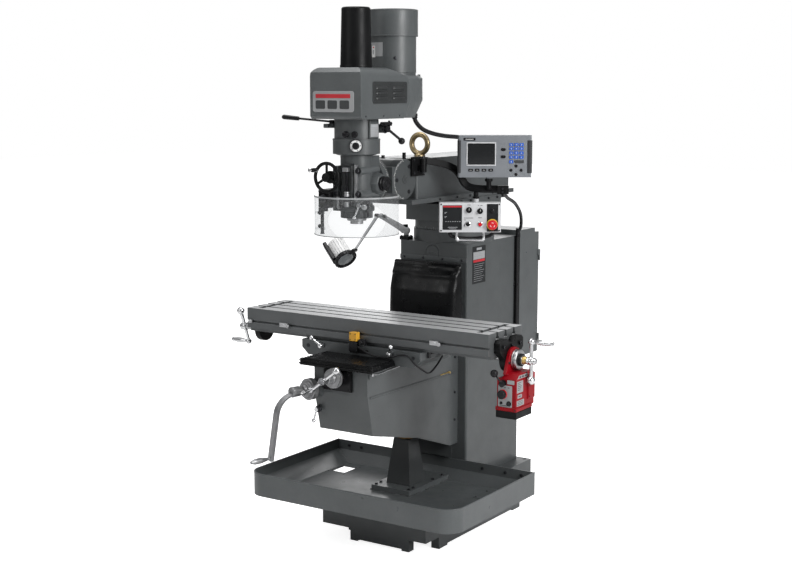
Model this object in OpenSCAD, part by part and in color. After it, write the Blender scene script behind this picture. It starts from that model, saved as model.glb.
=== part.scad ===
// Knee-type vertical milling machine with a swivelling turret, a sliding ram and a tilting head.
// Millimetres. +X is to the operator's right, +Y to the back, +Z up.
// The origin is on the floor, on the centre plane, in line with the column's front face.

/* [Table] */
// Length of the table
table_len = 1372; // [1200:1:1372]
// Width of the table, front to back
table_w = 305; // [290:1:305]
// Height of the table's top over the floor
table_top = 1137; // [1137:1:1137]
// Width of a T-slot's mouth
slot_w = 16; // [12:1:18]
// Distance between the T-slots
slot_pitch = 76; // [70:1:76]

/* [Stand] */
// Half of the column's width
col_half = 200; // [190:1:200]
// Depth of the column
col_depth = 541; // [520:1:541]
// Height of the column's top
col_top = 1446; // [1440:1:1446]
// Half of the chip pan's width
pan_half = 593; // [560:1:620]
// Depth of the chip pan
pan_depth = 770; // [740:1:790]
// Height of the chip pan's rim
pan_rim = 348; // [330:1:350]

/* [Knee and saddle] */
// Half of the knee's width
knee_half = 150; // [145:1:152]
// Distance from the column to the knee's front
knee_reach = 800; // [800:1:800]
// Half of the saddle's length along the table
saddle_half = 337; // [320:1:340]
// Radius of the knee's hand crank
crank_r = 318; // [280:1:325]

/* [Ram and head] */
// Distance from the column's front to the spindle's axis
spindle_reach = 665; // [665:1:665]
// Height of the head's tilt axis and the ram's nod axis
tilt_z = 1788; // [1788:1:1788]
// Radius of the quill
quill_r = 43; // [40:1:44]
// Radius of the head's swivel flange
flange_r = 100; // [95:1:100]

/* [Fits] */
// Radial clearance of a running fit
run = 0.08; // [0.05:0.01:0.1]
// Clearance of a sliding way
way = 0.3; // [0.2:0.1:0.5]

/* [Hidden] */
$fn = 48;
table_y = -482;
table_x = table_len / 2;
table_front = table_y - table_w / 2;
screw_y = -250;
screw_r = 19;
lead_z = 1008;
lead_r = 14;
cross_z = 900;
crank_z = 829;
crank_dir = [-151, -600, 0] / norm([151, 600]);
crank_turn = atan(151 / 600);
nod_y = -445;
spin_y = -spindle_reach;
motor_y = -365;
turret_y = 200;
panel_turn = 33.5;

// ---------------------------------------------------------------- shared shapes

// Corner points of a rectangle with rounded corners
function round_rect(x0, x1, y0, y1, r, steps = 5) = [
    for (c = [[x1 - r, y1 - r, 0], [x0 + r, y1 - r, 90], [x0 + r, y0 + r, 180], [x1 - r, y0 + r, 270]])
        for (i = [0 : steps]) [c[0] + r * cos(c[2] + 90 * i / steps), c[1] + r * sin(c[2] + 90 * i / steps)]
];

// Corner points of a rectangle with square rear corners and rounded front corners
function tray_outline(x0, x1, y0, y1, r, steps = 8) = concat([[x1, y1], [x0, y1]], [
    for (c = [[x0 + r, y0 + r, 180], [x1 - r, y0 + r, 270]])
        for (i = [0 : steps]) [c[0] + r * cos(c[2] + 90 * i / steps), c[1] + r * sin(c[2] + 90 * i / steps)]
]);

// Box given by its limits
module block(x0, x1, y0, y1, z0, z1) {
    translate([x0, y0, z0]) cube([x1 - x0, y1 - y0, z1 - z0]);
}

// Upright block with rounded vertical edges
module pillar(x0, x1, y0, y1, z0, z1, r) {
    translate([0, 0, z0]) linear_extrude(z1 - z0) polygon(round_rect(x0, x1, y0, y1, r));
}

// Round bar between two points
module rod(a, b, r) {
    d = b - a;
    translate(a)
        rotate([0, acos(d[2] / norm(d)), atan2(d[1], d[0])])
            cylinder(r = r, h = norm(d));
}

// Round bar along X, from x0 to x1
module bar_x(x0, x1, y, z, r) {
    translate([x0, y, z]) rotate([0, 90, 0]) cylinder(r = r, h = x1 - x0);
}

// Round bar along Y, from y0 to y1
module bar_y(y0, y1, x, z, r) {
    translate([x, y0, z]) rotate([-90, 0, 0]) cylinder(r = r, h = y1 - y0);
}

// Round bar along Z, from z0 to z1
module bar_z(z0, z1, x, y, r) {
    translate([x, y, z0]) cylinder(r = r, h = z1 - z0);
}

// Profile in the Y-Z plane, carried along X from x0 to x1
module side_plate(x0, x1, points) {
    translate([x0, 0, 0]) rotate([90, 0, 90]) linear_extrude(x1 - x0) polygon(points);
}

// Plate with a front-view outline, from y0 to y1
module front_plate(y0, y1, points) {
    translate([0, y1, 0]) rotate([90, 0, 0]) linear_extrude(y1 - y0) polygon(points);
}

// Dovetail bar: half-widths a at z0 and b at z1, running along Y
module dovetail_y(y0, y1, z0, z1, a, b) {
    translate([0, y1, 0]) rotate([90, 0, 0])
        linear_extrude(y1 - y0) polygon([[-a, z0], [a, z0], [b, z1], [-b, z1]]);
}

// Handle that tapers to its ends, along +Z from the origin
module handle(len, r) {
    rotate_extrude() polygon([[0, 0], [r * 0.55, 0], [r * 0.5, len * 0.12], [r, len * 0.45],
        [r * 0.95, len * 0.75], [r * 0.5, len * 0.96], [0, len]]);
}

// Lever with a hub, a round stem and a ball
module ball_lever(hub, tip, hub_r, stem_r, ball_r, hub_len) {
    bar_y(hub[1], hub[1] + hub_len, hub[0], hub[2], hub_r);
    rod([hub[0], hub[1] + hub_len * 0.3, hub[2]], tip, stem_r);
    translate(tip) sphere(r = ball_r);
}

// Places children along the inclined knee shaft, with +Z pointing at the operator
module on_crank_shaft(distance) {
    translate([0, screw_y, crank_z] + crank_dir * distance)
        rotate([0, 0, -crank_turn]) rotate([90, 0, 0]) children();
}

// Places children in the panels' own frame: +X along the panel, -Y towards the operator
module in_panel(centre) {
    translate(centre) rotate([0, 0, panel_turn]) children();
}

// ---------------------------------------------------------------- stand

module base_casting() {
    half = 269;
    front = -488;
    rear = 570;
    color("#4a4f50") difference() {
        union() {
            block(-half, half, front, rear, 0, 236);
            block(-340, -half + 1, front, -100, 60, 236);
        }
        block(-half + 45, half - 45, front + 45, rear - 45, -1, 200);
        for (x = [-1, 1], y = [0, 1])
            translate([x * (half - 48), y == 0 ? front + 60 : rear - 60, 25])
                cube([98, 122, 70], center = true);
        block(-130, 130, front - 1, rear + 1, -1, 9);
        block(-half - 1, half + 1, front + 200, rear - 200, -1, 9);
        bar_z(150, 237, 0, screw_y, screw_r + 7);
        for (x = [-1, 1], y = [0, 1])
            bar_z(50, 237, x * 242, y == 0 ? front + 24 : rear - 24, 10);
    }
    color("#4a4f50") block(-224.5, 224.5, -20, 20, 0, 200.5);
}

module chip_pan() {
    rear = -2;
    front = rear - pan_depth;
    wall = 5;
    shelf = 95;
    floor_z = 243;
    color("#565b5c") difference() {
        union() {
            difference() {
                translate([0, 0, 236]) linear_extrude(pan_rim - 236)
                    polygon(tray_outline(-pan_half, pan_half, front, rear, 90));
                hull() {
                    translate([0, 0, 297]) linear_extrude(1)
                        polygon(tray_outline(-pan_half + wall, pan_half - wall, front + wall,
                            rear - wall, 85));
                    translate([0, 0, floor_z]) linear_extrude(1)
                        polygon(tray_outline(-pan_half + shelf, pan_half - shelf, front + shelf,
                            rear - shelf / 2, 30));
                }
                translate([0, 0, 297]) linear_extrude(60)
                    polygon(tray_outline(-pan_half + wall, pan_half - wall, front + wall,
                        rear - wall, 85));
            }
            pillar(-116, 116, -390, -20, 240, 268, 8);
        }
        bar_z(230, 270, 0, screw_y, screw_r + 7);
        block(-480, -395, -225, -110, 235, 250);
        for (x = [-489, -386], y = [-237, -98]) bar_z(235, 250, x, y, 4);
    }
}

module drain_cover() {
    color("#6a6f70") difference() {
        block(375, 485, -235, -100, 243, 246);
        for (x = [387, 473], y = [-223, -112]) bar_z(240, 250, x, y, 3.5);
    }
}

module column_casting() {
    inner = col_half - 22;
    color("#54595a") {
        difference() {
            union() {
                pillar(-col_half, col_half, 0, col_depth, 236, col_top, 12);
                bar_z(col_top - 5, 1506, 0, turret_y, 206);
                translate([0, 0, 362]) linear_extrude(983)
                    polygon([[-115, 1], [115, 1], [140, -40], [-140, -40]]);
            }
            block(-inner, inner, 30, col_depth - 22, 235, 1400);
            bar_z(1390, 1507, 0, turret_y, 60);
            for (x = [-170, -57, 57, 170]) bar_y(-1, 20, x, 1363.5, 4);
        }
    }
}

module electrical_cabinet() {
    rear = col_depth + 209;
    color("#5a5f60") {
        difference() {
            union() {
                block(-col_half, col_half, col_depth, rear, 791, 1446);
                block(-col_half, col_half, col_depth, rear - 40, 1446, 1470);
            }
            block(-col_half + 3, col_half - 3, col_depth + 3, rear + 1, 794, 1443);
        }
        for (z = [830, 1320]) {
            block(col_half - 1, col_half + 7, rear - 10, rear, z, z + 30);
            bar_z(z, z + 30, col_half + 6, rear + 2, 5);
        }
    }
}

module cabinet_door() {
    rear = col_depth + 209;
    color("#5a5f60") {
        block(-col_half, col_half, rear + 0.5, rear + 4, 791, 1446);
        block(-col_half + 6, col_half - 6, rear - 12, rear + 0.5, 797, 1440);
        bar_y(rear + 4, rear + 16, -col_half + 30, 1120, 14);
        for (z = [860.3, 1290]) {
            block(col_half - 1, col_half + 6, rear + 0.5, rear + 4, z, z + 29.7);
            bar_z(z, z + 29.7, col_half + 6, rear + 2, 5);
        }
    }
}

module screw_pedestal() {
    top = 495;
    color("#4d5253") difference() {
        intersection() {
            translate([0, screw_y + 70, 0]) rotate([90, 0, 0])
                linear_extrude(140) polygon([[-70, 268], [70, 268], [44, top], [-44, top]]);
            side_plate(-80, 80, [[screw_y - 70, 268], [screw_y + 70, 268], [screw_y + 44, top],
                [screw_y - 44, top]]);
        }
        bar_z(260, 500, 0, screw_y, screw_r + 7);
    }
}

module elevating_nut() {
    color("#b08d3c") difference() {
        union() {
            bar_z(495, 507, 0, screw_y, 44);
            bar_z(506, 540, 0, screw_y, 31);
        }
        bar_z(490, 545, 0, screw_y, screw_r + run);
    }
}

module way_cover_strip() {
    color("#6b7071") difference() {
        block(-196, 196, -4, 0, 1352, 1375);
        for (x = [-170, -57, 57, 170]) bar_y(-9, 1, x, 1363.5, 4.1);
    }
}

// Rubber apron in front of the column's ways
module column_way_cover() {
    color("#101212") side_plate(-col_half, col_half, [[-42, 950], [-70, 950], [-108, 1040],
        [-112, 1180], [-96, 1270], [-62, 1325], [-42, 1348]]);
}

module column_conduit() {
    x = col_half + 12;
    color("#151616") {
        bar_z(880, 1470, x, 497, 10.5);
        for (z = [900, 1100, 1300, 1450]) bar_z(z, z + 10, x, 497, 11.9);
    }
}

// ---------------------------------------------------------------- work lamp

lamp_foot = [-180, 28, 1491];
lamp_elbow = [-280, -51, 1566];
lamp_wrist = [-310, -244, 1408];
lamp_aim = [0.716, -0.246, -0.653];
lamp_pin = [-27, 4.2, 0];
lamp_nod = [-0.252, 0.968, 0];

module lamp_base() {
    color("#151616") {
        block(-206, -154, 4, 52, col_top, col_top + 18);
        bar_z(col_top + 17, 1470, -180, 28, 13);
    }
}

module lamp_lower_arm() {
    arm = lamp_elbow - lamp_foot;
    color("#8a8d8e") difference() {
        union() {
            bar_z(1470.2, 1480, -180, 28, 13);
            translate(lamp_foot) rotate([0, acos(arm[2] / norm(arm)), atan2(arm[1], arm[0])])
                cylinder(r1 = 19, r2 = 13, h = norm(arm));
            translate(lamp_foot) sphere(r = 20.5);
            translate(lamp_elbow) sphere(r = 14.5);
        }
        rod(lamp_elbow + lamp_pin, lamp_elbow - lamp_pin, 5 + run);
    }
}

module lamp_upper_arm() {
    pivot = lamp_elbow + lamp_pin;
    color("#6e7273") {
        rod(lamp_elbow + lamp_pin * 1.4, lamp_elbow - lamp_pin * 0.6, 5);
        rod(lamp_elbow + lamp_pin * 1.38, lamp_elbow + lamp_pin * 0.65, 9);
        rod(pivot, lamp_wrist, 5);
        rod(lamp_wrist - lamp_nod * 11, lamp_wrist + lamp_nod * 11, 9.5);
    }
}

// Ribbed lamp body behind a round glass, hung from its rim
module lamp_head() {
    side = [0.694, 0.181, 0.697];
    glass = lamp_wrist - side * 68.6;
    color("#e6e6e4") {
        translate(glass)
            rotate([0, acos(lamp_aim[2] / norm(lamp_aim)), atan2(lamp_aim[1], lamp_aim[0])]) {
                translate([0, 0, -128]) cylinder(r = 36, h = 20);
                translate([0, 0, -109]) cylinder(r = 42, h = 92);
                translate([0, 0, -18]) cylinder(r1 = 44, r2 = 55, h = 9);
                translate([0, 0, -10]) cylinder(r = 57, h = 16);
            }
        rod(lamp_wrist - lamp_nod * 24, lamp_wrist - lamp_nod * 11.2, 9.5);
        rod(glass + side * 42 - lamp_nod * 18, lamp_wrist - lamp_nod * 18, 5);
    }
}

// ---------------------------------------------------------------- turret and ram

module turret() {
    color("#54595a") difference() {
        union() {
            bar_z(1506.3, 1556, 0, turret_y, 199);
            pillar(-150, 150, -27, 430, 1555, 1667, 10);
        }
        dovetail_y(-28, 431, 1640.7, 1669.7, 110 + way, 95 + way);
        bar_z(1500, 1641, 0, turret_y, 60);
        bar_x(-151, 151, 150, 1627, 11 + run);
        block(-26, 26, 120, 180, 1605, 1650);
    }
}

module ram_pinion() {
    color("#b9bcbe") {
        bar_x(-140, 172, 150, 1627, 11);
        bar_x(-22, 22, 150, 1627, 13);
        bar_x(172, 190, 150, 1627, 8);
    }
}

module ram() {
    body_top = 1880;
    color("#565b5c") difference() {
        union() {
            block(-150, 150, -428, 557, 1669, 1690);
            pillar(-124, 124, -346, 557, 1689, body_top, 14);
            block(-74, 74, -400, -330, 1697, 1878);
            bar_x(-74, 74, nod_y, tilt_z, 93);
            dovetail_y(-20, 557, 1641, 1670, 110, 95);
        }
        block(-70, 70, -200, 530, 1640, 1845);
        bar_x(-80, 80, nod_y, tilt_z, 25 + run);
        bar_z(1870, 1881, 0, -129, 10);
    }
}

module eyebolt() {
    color("#c9a24a") {
        bar_z(1871, 1890, 0, -129, 9.8);
        bar_z(1880, 1892, 0, -129, 24);
        translate([0, -129, 1940]) rotate([90, 0, 0])
            rotate_extrude() translate([45.5, 0]) circle(r = 13.2);
        bar_z(1891, 1898, 0, -129, 14);
    }
}

module arm_bracket() {
    color("#17191a") {
        block(124, 132, -400, -290, 1800, 1890);
        bar_z(1818, 1856, 158, -345, 17);
        block(131, 150, -357, -333, 1822, 1852);
    }
}

// Cranked bar that carries the readout and the control box
module support_arm() {
    color("#17191a") {
        bar_z(1856.2, 1884, 158, -345, 17);
        rod([158, -345, 1876], [250, -189, 1838], 15);
        translate([250, -189, 1838]) sphere(r = 15);
        rod([250, -189, 1838], [296, -158, 1740], 15);
        translate([296, -158, 1740]) sphere(r = 16);
        rod([296, -158, 1740], [470, -95, 1735], 16);
        bar_z(1740, 1785.8, 395, -137, 12);
        bar_z(1688, 1740, 329.5, -143.4, 12);
    }
}

module readout_console() {
    color("#3f4650") {
        in_panel([427, -140, 1892]) difference() {
            translate([0, 0, -99]) linear_extrude(198)
                polygon(round_rect(-173, 173, -16, 40, 8));
            block(-130, 0, -17, -13, -39, 61);
        }
        bar_z(1786, 1794, 395, -137, 16);
    }
}

module control_box() {
    color("#c3c6c8") in_panel([331, -200, 1601]) {
        difference() {
            translate([0, 0, -70]) linear_extrude(141) polygon(round_rect(-147, 147, 0, 62, 4));
            bar_y(-1, 20, -6, 36, 5 + run);
            bar_y(-1, 20, 105, -33, 9 + run);
        }
        for (x = [-62, 66]) bar_z(-110, -70, x, 24, 6);
        bar_x(-62, 66, 24, -110, 6);
        translate([30, 48, 70.5]) cylinder(r = 14, h = 16);
    }
}

module speed_knob() {
    color("#17191a") in_panel([331, -200, 1601]) {
        bar_y(-18, -0.5, -6, 36, 11);
        bar_y(-1, 15, -6, 36, 5);
    }
}

module emergency_stop() {
    color("#c01818") in_panel([331, -200, 1601]) {
        bar_y(-26, -14, 105, -33, 23);
        bar_y(-15, 12, 105, -33, 9);
    }
}

// ---------------------------------------------------------------- head

module ram_adapter() {
    color("#565b5c") {
        for (s = [-1, 1])
            bar_x(s < 0 ? -120 : 74.5, s < 0 ? -74.5 : 120, nod_y, tilt_z, 95);
        difference() {
            union() {
                block(-120, 120, -548, nod_y, tilt_z - 62, tilt_z + 62);
                bar_y(-560, -533, 0, tilt_z, flange_r);
            }
            bar_x(-74.5, 74.5, nod_y, tilt_z, 95);
        }
        bar_x(-75, 75, nod_y, tilt_z, 25);
    }
}

module head_casting() {
    neck_r = 101;
    feed_shaft_y = -612;
    color("#5a5f60") difference() {
        union() {
            bar_y(-588, -560.2, 0, tilt_z, flange_r);
            pillar(-70, 70, -660, -575, 1690, 1905, 10);
            bar_z(1622, 1915, 0, spin_y, 74);
            bar_z(1914, 1980, 0, spin_y, 108);
            bar_z(1979, 2072, 0, spin_y, neck_r);
            block(-76, -48, -745, -600, 1655, 1860);
            bar_y(-770, -650, -66, 1810, 24);
            for (x = [-1, 1], z = [-54, 52]) bar_y(-718, -570, x * 60, tilt_z + z, 14);
            bar_y(-722, -650, 61, 1682, 13);
            translate([60, feed_shaft_y, 1778]) rotate([0, 90, 0]) rotate([0, 0, 22.5])
                cylinder(r = 38, h = 44, $fn = 8);
            bar_x(60, 112, -600, 2028, 20);
            bar_z(2030, 2049.7, -108, -705, 16);
            translate([0, spin_y, 1953]) rotate([0, 0, -56.4]) rotate([0, 90, 0])
                cylinder(r = 24, h = 112);
        }
        bar_z(1600, 1985, 0, spin_y, quill_r + run);
        bar_z(1980, 2080, 0, spin_y, 40);
        bar_x(-80, 110, feed_shaft_y, 1778, 9 + run);
        bar_y(-780, -690, -66, 1810, 9 + run);
        bar_y(-730, -715, 61, 1682, 5 + run);
        bar_x(95, 120, -600, 2028, 7 + run);
        bar_z(2035, 2060, -108, -705, 6 + run);
        translate([0, spin_y, 1953]) rotate([0, 0, -56.4]) rotate([0, 90, 0])
            translate([0, 0, 98]) cylinder(r = 5 + run, h = 20);
    }
}

// Belt housing with a boxed front part and a round rear part under the motor
module belt_cover() {
    bottom = 2072.3;
    color("#5f6465") difference() {
        union() {
            intersection() {
                side_plate(-140, 140, [[-828, bottom + 12], [-816, bottom], [-484, bottom],
                    [-428, 2150], [-442, 2250], [-473, 2266], [-572, 2296], [-588, 2301],
                    [-806, 2301], [-828, 2280]]);
                front_plate(-840, -380, round_rect(-140, 140, bottom - 60, 2301, 38));
            }
            translate([0, motor_y, 0]) rotate_extrude() polygon([[0, bottom], [103, bottom],
                [140, 2155], [140, 2256], [130, 2266], [0, 2266]]);
        }
        intersection() {
            side_plate(-131, 131, [[-818, bottom + 20], [-808, bottom + 9], [-492, bottom + 9],
                [-437, 2152], [-450, 2246], [-478, 2258], [-574, 2287], [-590, 2292],
                [-802, 2292], [-818, 2276]]);
            front_plate(-840, -380, round_rect(-131, 131, bottom - 60, 2292, 30));
        }
        translate([0, motor_y, 0]) rotate_extrude() polygon([[0, bottom + 9], [97, bottom + 9],
            [131, 2158], [131, 2253], [126, 2257], [0, 2257]]);
        bar_z(2060, 2090, 0, spin_y, 60);
        bar_z(2240, 2290, 0, motor_y, 30);
        for (s = [-1, 1], col = [0, 1], row = [0, 1, 2])
            block(s < 0 ? -141 : 130, s < 0 ? -130 : 141, -708 + col * 128, -618 + col * 128,
                2163 + row * 25, 2172 + row * 25);
    }
}

module drawbar_cover() {
    color("#141516") difference() {
        translate([0, spin_y, 2301.2]) rotate_extrude() polygon([[0, 0], [74, 0], [74, 10], [72, 14],
            [66, 248], [66, 264], [60, 270], [0, 270]]);
        bar_z(2301, 2540, 0, spin_y, 58);
    }
}

module motor() {
    color("#63686a") {
        bar_z(2266.5, 2282, 0, motor_y, 108);
        bar_z(2281, 2451, 0, motor_y, 110);
        difference() {
            bar_z(2450, 2572, 0, motor_y, 118);
            for (a = [0 : 30 : 330])
                translate([0, motor_y, 2572]) rotate([0, 0, a]) translate([70, 0, 0])
                    cube([50, 8, 12], center = true);
        }
    }
}

module brake_lever() {
    color("#1a1b1c") {
        bar_z(2050, 2066, -108, -705, 13);
        bar_z(2036, 2051, -108, -705, 6);
        rod([-108, -705, 2058], [-290, -795, 2077], 5);
        rod([-245, -773, 2072], [-309, -804, 2079], 9);
        translate([-309, -804, 2079]) sphere(r = 10);
    }
}

module range_lever() {
    color("#c9cccd") {
        bar_x(112.3, 132, -600, 2028, 17);
        bar_x(96, 113, -600, 2028, 7);
        rod([125, -600, 2028], [142, -509, 1972], 6);
        translate([143, -507, 1969]) sphere(r = 15);
    }
}

module feed_dial() {
    color("#e8e8e6") translate([0, spin_y, 1953]) rotate([0, 0, -56.4]) rotate([0, 90, 0]) {
        translate([0, 0, 112.3]) cylinder(r = 26, h = 5);
        translate([0, 0, 117]) cylinder(r = 12, h = 16);
        translate([0, 0, 100]) cylinder(r = 5, h = 14);
    }
}

module feed_gearbox() {
    color("#17191a") pillar(-140, -76.2, -775, -640, 1668, 1752, 8);
}

module fine_feed_wheel() {
    y = -806;
    color("#141516") {
        bar_y(y, y + 105, -66, 1810, 9);
        bar_y(y - 4, y + 18, -66, 1810, 18);
        translate([-66, y, 1810]) rotate([90, 0, 0])
            rotate_extrude() translate([64, 0]) circle(r = 8);
        for (a = [90, 210, 330])
            rod([-66, y, 1810], [-66 + 62 * cos(a), y, 1810 + 62 * sin(a)], 6);
        translate([-66 - 50, y, 1810 + 34]) rotate([90, 0, 0]) handle(60, 9);
    }
}

module quill_lock_lever() {
    color("#d4d6d8") {
        bar_y(-740, -722.3, 61, 1682, 11);
        bar_y(-724, -717, 61, 1682, 5);
        rod([61, -733, 1682], [45, -746, 1632], 4);
        translate([44, -747, 1629]) sphere(r = 9);
    }
}

module quill() {
    color("#c4c7c9") difference() {
        union() {
            bar_z(1608, 1850, 0, spin_y, quill_r);
            bar_z(1609, 1621.5, 0, spin_y, quill_r + 1.5);
        }
        bar_z(1600, 1860, 0, spin_y, 24 + run);
    }
}

module spindle() {
    color("#d0d2d4") difference() {
        union() {
            bar_z(1593, 1607.5, 0, spin_y, 30);
            bar_z(1607, 1852, 0, spin_y, 24);
            bar_z(1851, 2060, 0, spin_y, 15);
        }
        bar_z(1590, 1690, 0, spin_y, 12.1);
    }
}

module quill_feed_hub() {
    color("#141516") {
        bar_x(104.3, 132, -612, 1778, 30);
        bar_x(-60, 105, -612, 1778, 9);
    }
}

module guard_post() {
    color("#7b8081") {
        bar_z(1546, 1668, -128, -758, 8);
        for (z = [1546, 1664]) bar_z(z, z + 4, -128, -758, 10);
    }
}

// Clear shield on two hinge lugs
module spindle_guard() {
    r = 195;
    color("#dfe8ec", 0.35) {
        difference() {
            bar_z(1546, 1722, 0, spin_y, r);
            bar_z(1540, 1730, 0, spin_y, r - 3);
            translate([0, spin_y, 1500]) linear_extrude(300)
                polygon([[0, 0], for (a = [35 : 15.5 : 190]) [400 * cos(a), 400 * sin(a)],
                    [400 * cos(210), 400 * sin(210)]]);
        }
        for (z = [1566, 1640]) difference() {
            union() {
                bar_z(z, z + 12, -128, -758, 13);
                rod([-136, -764, z + 6], [-156.5, -778.7, z + 6], 5);
            }
            bar_z(z - 1, z + 13, -128, -758, 8 + run);
        }
    }
}

// ---------------------------------------------------------------- knee

module knee_casting() {
    top = 945;
    color("#54595a") difference() {
        union() {
            difference() {
                side_plate(-knee_half, knee_half, [[-knee_reach, top - 6], [-knee_reach, 815],
                    [-758, 628], [-368, 536], [-75, 434], [-2, 434], [-2, top], [-794, top]]);
                side_plate(-knee_half + 15, knee_half - 15, [[-785, 905], [-785, 817], [-738, 600],
                    [-738, 400], [-100, 400], [-62, 434], [-62, 905]]);
            }
            dovetail_y(-780, -115, top - 1, 965, 100, 120);
            bar_z(850, 906, 0, screw_y, 34);
            on_crank_shaft(500) cylinder(r = 45, h = 92);
            bar_y(-790, -760, -133, 728, 14);
        }
        translate([0, 0, 430]) linear_extrude(520) polygon([[-115.7 - way, 0], [115.7 + way, 0],
            [140.4 + way, -40.5], [-140.4 - way, -40.5]]);
        bar_z(840, 895, 0, screw_y, screw_r + run);
        on_crank_shaft(480) cylinder(r = 14 + run, h = 120);
        bar_y(-knee_reach - 1, -780, 0, cross_z, 16 + run);
        block(-32, 32, -785, -300, 900, 970);
        bar_y(-791, -775, -133, 728, 6 + run);
    }
}

module bearing_plate() {
    color("#17191a") difference() {
        block(-88, 68, -knee_reach - 12, -knee_reach, 832, 928);
        bar_y(-knee_reach - 13, -knee_reach + 1, 0, cross_z, 16 + run);
    }
}

module elevating_screw() {
    color("#b9bcbe") {
        bar_z(60, 880, 0, screw_y, screw_r);
        bar_z(779, 800.8, 0, screw_y, 56);
    }
}

module knee_crank() {
    color("#a9acae") {
        on_crank_shaft(40) cylinder(r = 28, h = 28);
        on_crank_shaft(67) cylinder(r = 14, h = 620);
        on_crank_shaft(594) cylinder(r = 50, h = 28);
        on_crank_shaft(621) cylinder(r = 36, h = 20);
        on_crank_shaft(672) cylinder(r = 24, h = 44);
        on_crank_shaft(694) rotate([0, 0, -102]) {
            translate([0, 0, -6]) rotate([90, 0, 0]) linear_extrude(26, center = true)
                polygon(concat([for (a = [0 : 15 : 90]) [14 + 78 * (1 - cos(a)), 12 + 78 * sin(a)]],
                    [[crank_r + 12, 90], [crank_r + 12, 108]],
                    [for (a = [90 : -15 : 0]) [4 + 90 * (1 - cos(a)), 12 + 96 * sin(a)]]));
            translate([crank_r, 0, 100]) handle(112, 14);
        }
    }
}

module cross_feed_screw() {
    color("#b9bcbe") {
        bar_y(-905, -330, 0, cross_z, 16);
        bar_y(-866, -842, 0, cross_z, 45);
        bar_y(-842.5, -812.5, 0, cross_z, 26);
    }
}

module cross_feed_crank() {
    y = -930;
    upper = [72, y, cross_z + 55];
    lower = [-67, y, cross_z - 48];
    color("#d4d6d8") difference() {
        union() {
            bar_y(y - 18, y + 18, 0, cross_z, 17);
            rod(lower, upper, 8);
            translate(upper) sphere(r = 17);
            bar_y(y - 11, y + 11, lower[0], lower[2], 12);
            translate(lower) rotate([90, 0, 0]) handle(82, 10);
        }
        bar_y(-950, -900, 0, cross_z, 16);
        bar_y(-912, -900, 0, cross_z, 18);
    }
}

// Pleated cover over the knee's front ways
module front_way_cover() {
    color("#101212") {
        block(-205, 205, -840, -650, 968, 976);
        for (s = [-1, 1]) block(s < 0 ? -205 : 190, s < 0 ? -190 : 205, -840, -650, 940, 969);
        block(-205, 205, -840, -826, 940, 969);
    }
}

module knee_lock_lever() {
    color("#d4d6d8") {
        ball_lever([-133, -813.5, 728], [-146, -815, 674], 10, 4, 9, 23.2);
        bar_y(-792, -778, -133, 728, 6);
    }
}

// ---------------------------------------------------------------- saddle and table

module saddle() {
    front = -648;
    rear = -322;
    color("#4d5253") difference() {
        union() {
            difference() {
                union() {
                    rotate([90, 0, 0]) translate([0, 0, -rear]) linear_extrude(rear - front)
                        polygon([[-saddle_half, 1018], [saddle_half, 1018], [saddle_half, 980],
                            [300, 946], [-300, 946], [-saddle_half, 980]]);
                    side_plate(-saddle_half, saddle_half, [[table_y - 75, 1017],
                        [table_y + 75, 1017], [table_y + 92, 1048], [table_y - 92, 1048]]);
                }
                dovetail_y(front - 1, rear + 1, 944, 965.4, 100.2, 120.6);
            }
            block(-24, 24, -585, -535, 872, 985);
        }
        bar_x(-340, -40, table_y, lead_z, lead_r + 8);
        bar_x(40, 340, table_y, lead_z, lead_r + 8);
        bar_x(-41, 41, table_y, lead_z, lead_r + run);
        bar_y(-600, -500, 0, cross_z, 16 + run);
        for (x = [-213, 177]) bar_y(front - 1, front + 12, x, 1000, 6 + run);
    }
}

module lock_lever(x, tip) {
    color("#d4d6d8") {
        ball_lever([x, -674, 1000], tip, 11, 4.5, 10, 25.5);
        bar_y(-649, -638, x, 1000, 6);
    }
}

module saddle_lock_left() {
    lock_lever(-213, [-245, -693, 1039]);
}

module saddle_lock_right() {
    lock_lever(177, [205, -692, 1040]);
}

module limit_switch() {
    color("#d08a18") block(-44, -4, -668, -640, 1040, 1081);
    color("#17191a") {
        block(-42, -6, -668, -648, 985, 1040);
        block(-44, 50, -656, -648, 985, 1003);
    }
}

module table() {
    half = table_x;
    under = table_top - 100;
    color("#9a9d9e") difference() {
        union() {
            block(-half, half, table_front, table_front + table_w, under, table_top);
            block(-half, half, table_front + 25, table_front + table_w - 25, 1019, under + 1);
        }
        side_plate(-half - 1, half + 1, [[table_y - 75 - way, 1017], [table_y + 75 + way, 1017],
            [table_y + 92 + way, 1048], [table_y + 92 + way, 1048.5],
            [table_y - 92 - way, 1048.5], [table_y - 92 - way, 1048]]);
        for (i = [-1 : 1]) {
            block(-half - 1, half + 1, table_y + i * slot_pitch - slot_w / 2,
                table_y + i * slot_pitch + slot_w / 2, table_top - 30, table_top + 1);
            block(-half - 1, half + 1, table_y + i * slot_pitch - slot_w / 2 - 6,
                table_y + i * slot_pitch + slot_w / 2 + 6, table_top - 32, table_top - 19);
        }
        for (s = [-1, 1])
            block(s * 622 - 14, s * 622 + 14, table_front + 25, table_front + table_w - 25,
                table_top - 10, table_top + 1);
        block(-half - 1, half + 1, table_front - 1, table_front + 12, table_top - 70, table_top - 60);
    }
}

module table_stops() {
    z = table_top - 65;
    color("#c9cccd") for (x = [-455, 405]) {
        block(x - 18, x + 22, table_front - 12, table_front - 0.2, z - 9, z + 9);
        block(x - 14, x + 14, table_front - 0.3, table_front + 10, z - 4, z + 4);
        bar_y(table_front - 20, table_front - 11, x + 32, z - 2, 9);
        block(x + 20, x + 33, table_front - 12, table_front - 2, z - 7, z + 4);
    }
}

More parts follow.
